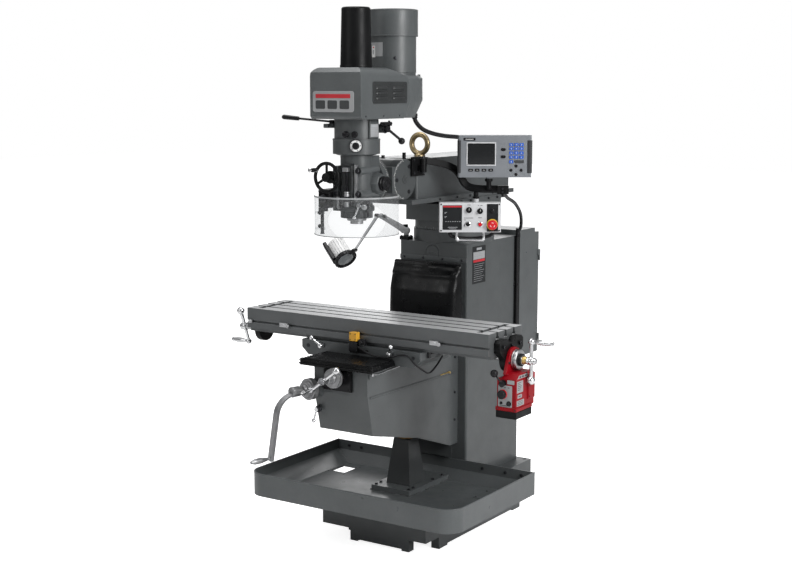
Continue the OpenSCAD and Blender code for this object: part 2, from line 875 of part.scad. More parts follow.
// End bracket profile in the Y-Z plane
function bracket_outline() = concat(
    [[table_y - 108, 1050], [table_y - 58, 1008]],
    [for (a = [190 : 20 : 350]) [table_y + 60 * cos(a), lead_z + 60 * sin(a)]],
    [[table_y + 58, 1008], [table_y + 108, 1050], [table_y + 108, 1090], [table_y + 92, 1104],
        [table_y + 40, 1104], [table_y + 22, 1086], [table_y - 22, 1086], [table_y - 40, 1104],
        [table_y - 92, 1104], [table_y - 108, 1090]]);

module table_brackets() {
    color("#17191a") for (s = [-1, 1]) difference() {
        side_plate(s < 0 ? -table_x - 32 : table_x, s < 0 ? -table_x : table_x + 32,
            bracket_outline());
        bar_x(s * 702 - 30, s * 702 + 30, table_y, lead_z, lead_r + run);
        for (y = [-75, 75])
            bar_x(s * 702 - 30, s * 702 + 30, table_y + y, 1070, 6);
    }
}

module table_leadscrew() {
    color("#b9bcbe") {
        bar_x(-814, 800, table_y, lead_z, lead_r);
        bar_x(-742, -719, table_y, lead_z, 30);
        bar_x(738, 762, table_y, lead_z, 45);
        bar_x(761, 778, table_y, lead_z, 21);
    }
}

// Two-ball crank in a plane across X, with its handle pointing to side s
module ball_crank(x, s, angle) {
    arm = 88;
    c = [x, table_y, lead_z];
    up = [0, sin(angle), cos(angle)] * arm;
    bar_x(x - 17, x + 17, table_y, lead_z, 18);
    rod(c - up, c + up, 8);
    translate(c - up) sphere(r = 19);
    translate(c + up) sphere(r = 14);
    translate(c + up) rotate([0, s * 90, 0]) handle(108, 11);
}

module table_cranks() {
    color("#d4d6d8") {
        ball_crank(-831, -1, 160);
        ball_crank(817, 1, 0);
    }
}

module power_feed() {
    x0 = 720;
    color("#c2152b") difference() {
        union() {
            side_plate(x0, 736, concat([[table_y - 84, 950], [table_y + 76, 950]],
                [for (a = [20 : 20 : 160]) [table_y + 56 * cos(a), lead_z + 56 * sin(a)]]));
            side_plate(x0, 792, [[-575, 800], [-405, 800], [-405, 945], [-430, 958], [-540, 958],
                [-575, 935]]);
            block(697, x0 + 1, -575, -430, 800, 935);
            block(692, 797, -580, -430, 790, 806);
            block(791, 797, -470, -405, 830, 945);
        }
        bar_x(690, 740, table_y, lead_z, lead_r + 2);
        bar_y(-582, -560, 728, 912, 7 + run);
    }
    color("#17191a") block(694, 795, -578, -432, 757, 790);
}

module power_feed_lever() {
    color("#17191a") {
        bar_y(-590, -575.4, 728, 912, 12);
        bar_y(-576, -562, 728, 912, 7);
        rod([728, -586, 912], [699, -606, 960], 4);
        translate([699, -606, 960]) sphere(r = 17);
    }
}

base_casting();
chip_pan();
drain_cover();
column_casting();
electrical_cabinet();
cabinet_door();
screw_pedestal();
elevating_nut();
way_cover_strip();
column_way_cover();
column_conduit();
lamp_base();
lamp_lower_arm();
lamp_upper_arm();
lamp_head();
turret();
ram_pinion();
ram();
eyebolt();
arm_bracket();
support_arm();
readout_console();
control_box();
speed_knob();
emergency_stop();
ram_adapter();
head_casting();
belt_cover();
drawbar_cover();
motor();
brake_lever();
range_lever();
feed_dial();
feed_gearbox();
fine_feed_wheel();
quill_lock_lever();
quill();
spindle();
quill_feed_hub();
guard_post();
spindle_guard();
knee_casting();
bearing_plate();
elevating_screw();
knee_crank();
cross_feed_screw();
cross_feed_crank();
front_way_cover();
knee_lock_lever();
saddle();
saddle_lock_left();
saddle_lock_right();
limit_switch();
table();
table_stops();
table_brackets();
table_leadscrew();
table_cranks();
power_feed();
power_feed_lever();
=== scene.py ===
"""Looks of the vertical milling machine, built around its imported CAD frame. Metres, +Z up, front faces -Y."""

import math

import bmesh
import bpy
from mathutils import Matrix, Vector, noise


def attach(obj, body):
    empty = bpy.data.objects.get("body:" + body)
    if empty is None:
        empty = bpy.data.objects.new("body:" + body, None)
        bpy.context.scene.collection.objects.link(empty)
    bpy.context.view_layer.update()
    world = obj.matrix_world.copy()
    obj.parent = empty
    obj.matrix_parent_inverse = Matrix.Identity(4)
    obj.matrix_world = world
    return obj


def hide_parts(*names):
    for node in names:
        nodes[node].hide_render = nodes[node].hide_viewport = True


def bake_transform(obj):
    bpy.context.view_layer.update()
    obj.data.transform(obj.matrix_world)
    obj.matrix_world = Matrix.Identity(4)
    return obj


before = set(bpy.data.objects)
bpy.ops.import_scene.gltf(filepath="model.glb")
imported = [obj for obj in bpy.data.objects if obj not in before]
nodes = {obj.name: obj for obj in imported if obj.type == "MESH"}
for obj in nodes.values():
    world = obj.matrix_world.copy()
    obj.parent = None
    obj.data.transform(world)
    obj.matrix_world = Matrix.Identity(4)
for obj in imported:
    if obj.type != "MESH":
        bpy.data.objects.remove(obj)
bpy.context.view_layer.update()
MM = 0.001
BEVEL_ANGLE = 33


# ---------------------------------------------------------------- materials

def link(tree, a, b):
    """Connects output a to input b."""
    tree.links.new(a, b)


class Shader:
    """A Principled material with helpers for the procedural detail."""

    def __init__(self, name):
        self.mat = bpy.data.materials.new(name)
        self.mat.use_nodes = True
        self.tree = self.mat.node_tree
        self.bsdf = self.tree.nodes["Principled BSDF"]
        coord = self.tree.nodes.new("ShaderNodeTexCoord")
        self.coord = coord.outputs["Object"]

    def node(self, kind, **values):
        """New node with its sockets or properties set by name."""
        n = self.tree.nodes.new(kind)
        for key, value in values.items():
            if key in n.inputs:
                n.inputs[key].default_value = value
            else:
                setattr(n, key, value)
        return n

    def stretched(self, scale):
        """Object coordinates scaled by axis."""
        m = self.node("ShaderNodeMapping")
        m.inputs["Scale"].default_value = scale
        link(self.tree, self.coord, m.inputs["Vector"])
        return m.outputs["Vector"]

    def noise(self, scale, detail=3.0, stretch=None, rough=0.5):
        """Noise of a scale, stretched by axis if asked."""
        n = self.node("ShaderNodeTexNoise", Scale=scale, Detail=detail, Roughness=rough)
        link(self.tree, self.stretched(stretch) if stretch else self.coord, n.inputs["Vector"])
        return n.outputs["Fac"]

    def ramp(self, fac, stops):
        """Colour ramp through the stops."""
        r = self.node("ShaderNodeValToRGB")
        e = r.color_ramp.elements
        while len(e) < len(stops):
            e.new(0.5)
        for item, (pos, value) in zip(e, stops):
            item.position = pos
            item.color = (value, value, value, 1) if isinstance(value, (int, float)) else (*value, 1)
        link(self.tree, fac, r.inputs["Fac"])
        return r.outputs["Color"]

    def math(self, op, a, b=None, clamp=False):
        """Math node on sockets or numbers."""
        n = self.node("ShaderNodeMath", operation=op, use_clamp=clamp)
        for i, v in enumerate((a, b)):
            if v is None:
                continue
            if isinstance(v, (int, float)):
                n.inputs[i].default_value = v
            else:
                link(self.tree, v, n.inputs[i])
        return n.outputs[0]

    def mix(self, fac, a, b):
        """Colour mix on sockets, colours or numbers."""
        n = self.node("ShaderNodeMix", data_type="RGBA")
        for key, v in ((0, fac), (6, a), (7, b)):
            if isinstance(v, (int, float)):
                n.inputs[key].default_value = v
            elif isinstance(v, tuple):
                n.inputs[key].default_value = (*v, 1)
            else:
                link(self.tree, v, n.inputs[key])
        return n.outputs[2]

    def edge(self, radius):
        """About 1 on sharp edges and 0 on flats."""
        b = self.node("ShaderNodeBevel", samples=4, Radius=radius)
        g = self.node("ShaderNodeNewGeometry")
        d = self.node("ShaderNodeVectorMath", operation="DOT_PRODUCT")
        link(self.tree, b.outputs["Normal"], d.inputs[0])
        link(self.tree, g.outputs["Normal"], d.inputs[1])
        return self.math("SUBTRACT", 1.0, d.outputs["Value"], clamp=True), b.outputs["Normal"]

    def bump(self, height, strength, distance, normal=None):
        """Bump normal from a height, on top of another normal."""
        b = self.node("ShaderNodeBump", Strength=strength, Distance=distance)
        link(self.tree, height, b.inputs["Height"])
        if normal is not None:
            link(self.tree, normal, b.inputs["Normal"])
        return b.outputs["Normal"]

    def set(self, **values):
        """Sets or links inputs of the Principled shader by name."""
        for key, value in values.items():
            socket = self.bsdf.inputs[key.replace("_", " ")]
            if isinstance(value, (int, float)):
                socket.default_value = value
            elif isinstance(value, tuple):
                socket.default_value = (*value, 1) if len(value) == 3 and "Color" in key else value
            else:
                link(self.tree, value, socket)
        return self


def shade(c, k):
    """Colour times a factor."""
    return tuple(min(1.0, x * k) for x in c)


def paint(name, color, rough=0.38, grain=260.0, depth=0.00012, wear=0.5, coat=0.1, under=(0.42, 0.43, 0.44),
          shine=0.4):
    """Machine enamel over iron: slight mottling, orange peel, dust film and rubbed edges."""
    s = Shader(name)
    cloud = s.ramp(s.noise(5.5, 4), [(0.3, 0.0), (0.72, 1.0)])
    base = s.mix(cloud, shade(color, 0.9), shade(color, 1.1))
    fine = s.ramp(s.noise(90, 3), [(0.35, 0.0), (0.7, 1.0)])
    base = s.mix(s.math("MULTIPLY", fine, 0.25), base, shade(color, 1.22))
    edge, round_normal = s.edge(0.0022)
    chip = s.ramp(s.noise(140, 5, rough=0.7), [(0.5, 0.0), (0.62, 1.0)])
    mask = s.math("MULTIPLY", s.math("MULTIPLY", edge, 3.0, clamp=True), chip)
    mask = s.math("MULTIPLY", mask, wear, clamp=True)
    base = s.mix(mask, base, under)
    peel = s.noise(grain, 2)
    normal = s.bump(peel, 0.35, depth, round_normal)
    roughness = s.ramp(s.noise(14, 4), [(0.25, rough - 0.07), (0.8, rough + 0.12)])
    s.set(Base_Color=base, Roughness=roughness, Normal=normal, Coat_Weight=coat, Coat_Roughness=0.25,
          Specular_IOR_Level=shine)
    return s.mat


def metal(name, color, rough=0.28, lines=(6, 6, 900), depth=0.00002, smudge=0.1):
    """Bare metal with machining lines, smudges and slightly brighter edges."""
    s = Shader(name)
    streak = s.noise(1.0, 2, stretch=lines)
    cloud = s.noise(22, 4)
    base = s.mix(s.ramp(cloud, [(0.3, 0.0), (0.75, 1.0)]), shade(color, 0.88), shade(color, 1.06))
    edge, round_normal = s.edge(0.0012)
    base = s.mix(s.math("MULTIPLY", edge, 1.2, clamp=True), base, shade(color, 1.25))
    r = s.math("ADD", s.math("MULTIPLY", cloud, smudge * 2), rough - smudge)
    r = s.math("ADD", r, s.math("MULTIPLY", streak, 0.08))
    s.set(Base_Color=base, Metallic=1.0, Roughness=r, Normal=s.bump(streak, 0.25, depth, round_normal))
    return s.mat


def plastic(name, color, rough=0.4, grain=700.0, depth=0.00006, scuff=0.3):
    """Moulded plastic or rubber: spark-eroded grain, faint scuffs and handling shine."""
    s = Shader(name)
    cloud = s.ramp(s.noise(9, 4), [(0.3, 0.0), (0.75, 1.0)])
    base = s.mix(cloud, shade(color, 0.92), shade(color, 1.1))
    edge, round_normal = s.edge(0.0012)
    scratch = s.ramp(s.noise(60, 6, rough=0.75), [(0.55, 0.0), (0.68, 1.0)])
    mask = s.math("MULTIPLY", s.math("MULTIPLY", edge, 2.5, clamp=True), scratch)
    base = s.mix(s.math("MULTIPLY", mask, scuff, clamp=True), base, shade(color, 2.2))
    s.set(Base_Color=base,
          Roughness=s.ramp(s.noise(30, 4), [(0.3, rough - 0.06), (0.8, rough + 0.1)]),
          Normal=s.bump(s.noise(grain, 2), 0.3, depth, round_normal),
          Specular_IOR_Level=0.45 if max(color) > 0.02 else 0.2)
    return s.mat


GREY = (0.058, 0.0632, 0.0647)
M = {
    "casting": paint("casting_enamel", GREY, 0.36, 120, 0.00035, 0.45),
    "sheet": paint("sheet_enamel", shade(GREY, 1.28), 0.33, 320, 0.0001, 0.5, 0.12),
    "motor": paint("motor_enamel", shade(GREY, 1.15), 0.42, 520, 0.00022, 0.35, 0.1),
    # Adapter enamel is the casting grey darkened: painted shade.
    "adapter": paint("adapter_shaded_enamel", shade(GREY, 0.8), 0.4, 420, 0.0002, 0.4),
    # Shaded copy of the casting grey: painted shade for parts that sit in shadow.
    "shaded_casting": paint("shadow_enamel", shade(GREY, 0.62), 0.42, 130, 0.0003, 0.4),
    "black": paint("black_enamel", (0.0045, 0.0047, 0.005), 0.4, 300, 0.00012, 0.25, 0.0, (0.06, 0.06, 0.062),
                   0.14),
    "red": paint("red_enamel", (0.22, 0.0018, 0.006), 0.34, 300, 0.0001, 0.25, 0.0, (0.3, 0.03, 0.03), 0.16),
    "silver": paint("silver_enamel", (0.5, 0.505, 0.515), 0.34, 420, 0.00008, 0.25, 0.2, (0.7, 0.7, 0.7)),
    # Louvre enamel is the casting grey darkened: painted shade for the louvred plates.
    "louvre": paint("louvre_shaded_enamel", shade(GREY, 0.36), 0.45, 320, 0.0001, 0.3, 0.02),
    "plate_grey": plastic("plate_grey", (0.27, 0.275, 0.28), 0.36, 700, 0.00003, 0.15),
    "crank_steel": metal("cast_steel", (0.3, 0.302, 0.308), 0.4, (60, 60, 60), 0.00005, 0.12),
    "arm_grey": paint("lamp_arm_enamel", (0.34, 0.345, 0.35), 0.36, 420, 0.0001, 0.4),
    "white": paint("white_enamel", (0.74, 0.74, 0.735), 0.38, 320, 0.0001, 0.25, 0.2, (0.5, 0.5, 0.5)),
    "steel": metal("ground_steel", (0.56, 0.565, 0.575), 0.3),
    "steel_x": metal("turned_steel_x", (0.56, 0.565, 0.575), 0.3, (900, 6, 6)),
    "steel_y": metal("turned_steel_y", (0.56, 0.565, 0.575), 0.3, (6, 900, 6)),
    "chrome": metal("polished_steel", (0.72, 0.725, 0.735), 0.13, (40, 40, 40), 0.00001, 0.05),
    "oxide": metal("blackened_steel", (0.045, 0.046, 0.05), 0.38, (60, 60, 60), 0.00003),
    "zinc": metal("yellow_zinc", (0.42, 0.33, 0.19), 0.34, (30, 30, 30), 0.00004, 0.14),
    "bronze": metal("turned_bronze", (0.16, 0.105, 0.05), 0.42, (8, 8, 700)),
    "brass": metal("turned_brass", (0.62, 0.44, 0.16), 0.26, (700, 8, 8)),
    "knob": plastic("black_phenolic", (0.01, 0.01, 0.011), 0.2, 200, 0.00002, 0.2),
    "cable": plastic("cable_jacket", (0.012, 0.012, 0.013), 0.42, 500, 0.00008, 0.15),
    "console": plastic("console_plastic", (0.155, 0.165, 0.178), 0.42, 900, 0.00009, 0.25),
    "grip": plastic("grip_rubber", (0.018, 0.019, 0.021), 0.55, 700, 0.0001, 0.2),
    "blue": plastic("blue_key", (0.028, 0.09, 0.38), 0.38, 500, 0.00005, 0.2),
    "button_red": plastic("red_button", (0.5, 0.008, 0.014), 0.28, 300, 0.00003, 0.15),
    "yellow": plastic("yellow_ring", (0.72, 0.47, 0.02), 0.35, 300, 0.00004, 0.2),
    "amber": plastic("amber_switch", (0.62, 0.32, 0.03), 0.35, 400, 0.00005, 0.3),
    "panel_black": plastic("panel_black", (0.012, 0.013, 0.014), 0.32, 800, 0.00003, 0.1),
    "label": plastic("label_white", (0.62, 0.62, 0.61), 0.45, 600, 0.00002, 0.1),
    "print_red": plastic("label_red", (0.42, 0.012, 0.02), 0.42, 600, 0.00002, 0.1),
    "print_dark": plastic("label_dark", (0.03, 0.032, 0.034), 0.4, 600, 0.00002, 0.1),
    "print_mid": plastic("label_grey", (0.3, 0.31, 0.32), 0.42, 600, 0.00002, 0.1),
}


def screen_material():
    s = Shader("display_glass")
    grid = s.node("ShaderNodeTexBrick", Scale=260.0)
    link(s.tree, s.coord, grid.inputs["Vector"])
    dots = s.mix(0.5, (0.004, 0.005, 0.006), (0.007, 0.008, 0.009))
    s.set(Base_Color=dots, Roughness=s.ramp(s.noise(12, 4), [(0.3, 0.06), (0.8, 0.16)]), Coat_Weight=1.0,
          Coat_Roughness=0.04, Normal=s.bump(grid.outputs["Fac"], 0.05, 0.00001))
    return s.mat


def clear_material():
    """Thin clear polycarbonate with a faint print of dots and light scratches."""
    s = Shader("clear_guard_sheet")
    out = s.tree.nodes["Material Output"]
    clear = s.node("ShaderNodeBsdfTransparent")
    clear.inputs["Color"].default_value = (0.915, 0.92, 0.922, 1)
    fres = s.node("ShaderNodeFresnel", IOR=1.45)
    dots = s.node("ShaderNodeTexVoronoi", Scale=160.0)
    link(s.tree, s.coord, dots.inputs["Vector"])
    haze = s.ramp(dots.outputs["Distance"], [(0.12, 0.07), (0.3, 0.02)])
    haze = s.math("ADD", haze, s.math("MULTIPLY", s.noise(40, 5), 0.03))
    s.set(Base_Color=(0.36, 0.365, 0.37), Roughness=0.16,
          Normal=s.bump(s.noise(25, 3), 0.1, 0.0004))
    fac = s.math("ADD", haze, s.math("MULTIPLY", fres.outputs["Fac"], 0.2), clamp=True)
    mixer = s.node("ShaderNodeMixShader")
    link(s.tree, fac, mixer.inputs[0])
    link(s.tree, clear.outputs[0], mixer.inputs[1])
    link(s.tree, s.bsdf.outputs[0], mixer.inputs[2])
    link(s.tree, mixer.outputs[0], out.inputs["Surface"])
    return s.mat


def table_material():
    """Ground iron: bright, scraped top with grinding marks along X; the flanks get a dark colour, a painted
    dark reflection.
    """
    s = Shader("ground_table")
    grind = s.noise(1.0, 3, stretch=(5, 700, 700))
    cloud = s.noise(7, 5)
    scrape = s.node("ShaderNodeTexVoronoi", Scale=75.0)
    link(s.tree, s.stretched((1.0, 1.5, 1.0)), scrape.inputs["Vector"])
    g = s.node("ShaderNodeNewGeometry")
    split = s.node("ShaderNodeSeparateXYZ")
    link(s.tree, g.outputs["Normal"], split.inputs[0])
    place = s.node("ShaderNodeSeparateXYZ")
    link(s.tree, s.coord, place.inputs[0])
    up = s.math("GREATER_THAN", split.outputs["Z"], 0.6)
    high = s.math("GREATER_THAN", place.outputs["Z"], 1.1)
    top = s.math("MULTIPLY", up, high)
    tone = s.math("ADD", s.math("MULTIPLY", cloud, 0.14),
                  s.math("MULTIPLY", s.ramp(scrape.outputs["Color"], [(0.2, 0.0), (0.8, 1.0)]), 0.05))
    bright = s.mix(tone, (0.42, 0.425, 0.43), (0.9, 0.91, 0.92))
    # Flanks: ground metal darkened in colour, a painted dark reflection; their edges get the lighter ground
    # band.
    dark = s.mix(cloud, (0.085, 0.09, 0.092), (0.13, 0.137, 0.14))
    edge, round_normal = s.edge(0.0014)
    dark = s.mix(s.math("MULTIPLY", edge, 2.0, clamp=True), dark, (0.45, 0.455, 0.46))
    s.set(Base_Color=s.mix(top, dark, bright), Metallic=s.math("ADD", s.math("MULTIPLY", top, -0.15), 0.5),
          Roughness=s.math("ADD", s.math("MULTIPLY", s.noise(18, 4), 0.2), 0.3),
          Normal=s.bump(grind, 0.3, 0.00003, round_normal))
    return s.mat


M["screen"] = screen_material()
M["clear"] = clear_material()
M["clear_edge"] = plastic("guard_edge", (0.3, 0.31, 0.315), 0.3, 300, 0.00003, 0.1)
M["lens"] = plastic("lamp_lens", (0.16, 0.17, 0.175), 0.14, 900, 0.00008, 0.1)
M["table"] = table_material()
M["rubber"] = plastic("cover_rubber", (0.0035, 0.0037, 0.004), 0.3, 60, 0.0002, 0.1)


# ---------------------------------------------------------------- mesh tools

class Shape:
    """Collects solids in one mesh. All sizes are in millimetres; `place` moves what is drawn next."""

    def __init__(self, place=None):
        self.bm = bmesh.new()
        self.place = place or Matrix.Identity(4)

    def _add(self, verts, faces):
        vs = [self.bm.verts.new(self.place @ Vector(v)) for v in verts]
        for f in faces:
            if len(set(f)) > 2:
                self.bm.faces.new([vs[i] for i in f])

    def box(self, x0, x1, y0, y1, z0, z1):
        """Block between two values on each axis."""
        p = [(x, y, z) for z in (z0, z1) for y in (y0, y1) for x in (x0, x1)]
        self._add(p, [(0, 2, 3, 1), (4, 5, 7, 6), (0, 1, 5, 4), (2, 6, 7, 3), (0, 4, 6, 2), (1, 3, 7, 5)])

    def slab(self, p, q):
        """Block between two faces of four corners each."""
        self._add(p + q, [(0, 1, 2, 3), (4, 5, 6, 7), (0, 1, 5, 4), (1, 2, 6, 5), (2, 3, 7, 6), (3, 0, 4, 7)])

    def lathe(self, a, axis, profile, n=40):
        """Profile is a list of (distance along the axis, radius); zero radii close the ends."""
        a, axis = Vector(a), Vector(axis).normalized()
        u = axis.orthogonal().normalized()
        v = axis.cross(u)
        verts, rows = [], []
        for d, r in profile:
            if r < 1e-6:
                rows.append([len(verts)] * n)
                verts.append(a + axis * d)
            else:
                rows.append(list(range(len(verts), len(verts) + n)))
                verts += [a + axis * d + (u * math.cos(t) + v * math.sin(t)) * r
                          for t in (2 * math.pi * i / n for i in range(n))]
        faces = []
        for k in range(len(rows) - 1):
            p, q = rows[k], rows[k + 1]
            for i in range(n):
                j = (i + 1) % n
                f = [p[i], p[j], q[j], q[i]]
                faces.append([x for m, x in enumerate(f) if x not in f[:m]])
        if profile[0][1] > 1e-6:
            faces.append(rows[0][::-1])
        if profile[-1][1] > 1e-6:
            faces.append(rows[-1])
        self._add(verts, faces)

    def rod(self, a, b, r, r2=None, n=24, soft=0.0):
        """Cylinder or cone between two points, with optional soft ends."""
        a, b = Vector(a), Vector(b)
        d = (b - a).length
        r2 = r if r2 is None else r2
        s = min(soft, r * 0.6, r2 * 0.6, d * 0.4)
        prof = [(0, r - s), (s * 0.3, r - s * 0.3), (s, r), (d - s, r2), (d - s * 0.3, r2 - s * 0.3),
                (d, r2 - s)] \
            if s > 0 else [(0, r), (d, r2)]
        self.lathe(a, b - a, prof, n)

    def ring(self, a, axis, r, small, n=40, k=12):
        """Torus about an axis."""
        a, axis = Vector(a), Vector(axis).normalized()
        u = axis.orthogonal().normalized()
        v = axis.cross(u)
        verts, faces = [], []
        for i in range(n):
            t = 2 * math.pi * i / n
            out = u * math.cos(t) + v * math.sin(t)
            for j in range(k):
                w = 2 * math.pi * j / k
                verts.append(a + out * (r + small * math.cos(w)) + axis * (small * math.sin(w)))
        for i in range(n):
            for j in range(k):
                faces.append((i * k + j, ((i + 1) % n) * k + j, ((i + 1) % n) * k + (j + 1) % k,
                              i * k + (j + 1) % k))
        self._add(verts, faces)

    def ball(self, c, r, n=20):
        """Sphere."""
        self.lathe(Vector(c) - Vector((0, 0, r)), (0, 0, 1),
                   [(r - r * math.cos(math.pi * i / n),
                     r * math.sin(math.pi * i / n)) for i in range(n + 1)], n * 2)

    def prism(self, pts, origin, u, v, depth):
        """Closed outline in the u-v plane at origin, carried along u x v by depth."""
        o, u, v = Vector(origin), Vector(u), Vector(v)
        w = u.cross(v).normalized() * depth
        a = [o + u * x + v * y for x, y in pts]
        n = len(a)
        self._add(a + [p + w for p in a],
                  [tuple(range(n))[::-1], tuple(range(n, 2 * n))]
                  + [(i, (i + 1) % n, n + (i + 1) % n, n + i) for i in range(n)])

    def sweep(self, pts, section, up=(0, 0, 1)):
        """Carries a closed section, a list of (side, up) offsets, along a path and closes both ends."""
        pts = [Vector(p) for p in pts]
        up = Vector(up)
        rows = []
        side = None
        for i, p in enumerate(pts):
            t = (pts[min(i + 1, len(pts) - 1)] - pts[max(i - 1, 0)]).normalized()
            s = t.cross(up) if side is None else side - t * side.dot(t)
            if s.length < 1e-4:
                s = t.orthogonal()
            side = s.normalized()
            n = side.cross(t).normalized()
            rows.append([p + side * x + n * y for x, y in section])
        k = len(rows[0])
        faces = [(i * k + j, i * k + (j + 1) % k, (i + 1) * k + (j + 1) % k, (i + 1) * k + j)
                 for i in range(len(rows) - 1) for j in range(k)]
        faces += [tuple(range(k))[::-1], tuple(range((len(rows) - 1) * k, len(rows) * k))]
        self._add([v for r in rows for v in r], faces)

    def hose(self, pts, r, steps=10, n=14):
        """Round flexible tube along a smooth curve through the points."""
        self.sweep(spline(pts, steps), circle(0, 0, r, n))

    def screw(self, c, axis, r, h, kind="socket"):
        """Cap screw head standing on c: a socket head or a hexagon head on a washer."""
        c, axis = Vector(c), Vector(axis).normalized()
        if kind == "socket":
            self.lathe(c, axis, [(0, r * 0.98), (h * 0.85, r), (h, r * 0.88), (h, r * 0.5),
                                 (h * 0.45, r * 0.46), (h * 0.45, 0)], 24)
        elif kind == "pan":
            self.lathe(c, axis, [(0, r), (h * 0.4, r * 0.97), (h * 0.8, r * 0.72), (h, r * 0.3),
                                 (h * 0.7, r * 0.2), (h * 0.7, 0)], 20)
        else:
            self.lathe(c, axis, [(0, r * 1.25), (h * 0.15, r * 1.25)], 24)
            self.lathe(c + axis * h * 0.15, axis, [(0, r), (h * 0.75, r), (h * 0.85, r * 0.85)], 6)

    def done(self, name, body, mat, bevel=0.0, slot=None, angle=35):
        """Makes the object in metres and, when a body is given, attaches it to that body."""
        bmesh.ops.recalc_face_normals(self.bm, faces=self.bm.faces)
        self.bm.transform(Matrix.Scale(MM, 4))
        me = bpy.data.meshes.new(name)
        self.bm.to_mesh(me)
        self.bm.free()
        me.polygons.foreach_set("use_smooth", [True] * len(me.polygons))
        me.set_sharp_from_angle(angle=math.radians(angle))
        me.materials.append(M[mat] if isinstance(mat, str) else mat)
        o = bpy.data.objects.new(name, me)
        bpy.context.scene.collection.objects.link(o)
        if bevel:
            add_bevel(o, bevel)
        if body:
            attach(o, body)
        return o


def add_bevel(o, width):
    """Soft edges of a width in millimetres, with normals weighted by face so that flats stay flat."""
    m = o.modifiers.new("bevel", "BEVEL")
    m.width = width * MM
    m.segments = 2
    m.limit_method = "ANGLE"
    m.angle_limit = math.radians(BEVEL_ANGLE)
    m.harden_normals = True
    m.use_clamp_overlap = True
    m = o.modifiers.new("weighted", "WEIGHTED_NORMAL")
    m.keep_sharp = True
    m.weight = 60


def spline(pts, steps=10):
    """Catmull-Rom curve through the points."""
    p = [Vector(x) for x in pts]
    p = [p[0] * 2 - p[1]] + p + [p[-1] * 2 - p[-2]]
    out = []
    for i in range(1, len(p) - 2):
        for k in range(steps):
            t = k / steps
            a, b, c, d = p[i - 1], p[i], p[i + 1], p[i + 2]
            square, cube = 2 * a - 5 * b + 4 * c - d, 3 * b - a - 3 * c + d
            out.append(0.5 * (2 * b + (c - a) * t + square * t * t + cube * t ** 3))
    out.append(p[-2])
    return out


def rounded(x0, x1, y0, y1, r, n=5):
    """Outline of a rectangle with round corners."""
    out = []
    for cx, cy, a0 in ((x1 - r, y1 - r, 0), (x0 + r, y1 - r, 90), (x0 + r, y0 + r, 180),
                       (x1 - r, y0 + r, 270)):
        out += [(cx + r * math.cos(math.radians(a0 + 90 * i / n)),
                 cy + r * math.sin(math.radians(a0 + 90 * i / n)))
                for i in range(n + 1)]
    return out


def arc(x, y, r, a0, a1, n):
    """Outline of n points along an arc, angles in radians."""
    turns = [a0 + (a1 - a0) * k / (n - 1) for k in range(n)]
    return [(x + r * math.cos(a), y + r * math.sin(a)) for a in turns]


def circle(x, y, r, n):
    """Outline of a regular polygon with n corners."""
    return [(x + r * math.cos(2 * math.pi * k / n), y + r * math.sin(2 * math.pi * k / n)) for k in range(n)]


X, Y, Z = Vector((1, 0, 0)), Vector((0, 1, 0)), Vector((0, 0, 1))

# Axes and faces that several details share, in millimetres
SPINDLE_Y = -665
MOTOR_Y = -365
NOD_Y, NOD_Z = -445, 1788
QUILL_FEED_Y, QUILL_FEED_Z = -612, 1778
WHEEL_X, WHEEL_Z = -66, 1810
EYEBOLT_Y = -129
ARM_X, ARM_Y = 158, -345
CONDUIT_X, CONDUIT_Y = 208.6, 497
LEAD_Y, LEAD_Z = -482, 1008
CROSS_Z = 900
SADDLE_FRONT = -648
LAMP_WRIST = Vector((-310, -244, 1408))


# ---------------------------------------------------------------- CAD nodes: materials and edge finish

def dress(name, mat, bevel):
    """Gives a CAD node its material and, by modifiers only, softened edges."""
    o = nodes[name]
    me = o.data
    me.materials.clear()
    me.materials.append(M[mat])
    if "custom_normal" in me.attributes:
        me.attributes.remove(me.attributes["custom_normal"])
    me.polygons.foreach_set("use_smooth", [True] * len(me.polygons))
    w = o.modifiers.new("weld", "WELD")
    w.merge_threshold = 0.00002
    d = o.modifiers.new("planar", "DECIMATE")
    d.decimate_type = "DISSOLVE"
    d.angle_limit = math.radians(0.4)
    if bevel:
        add_bevel(o, bevel)


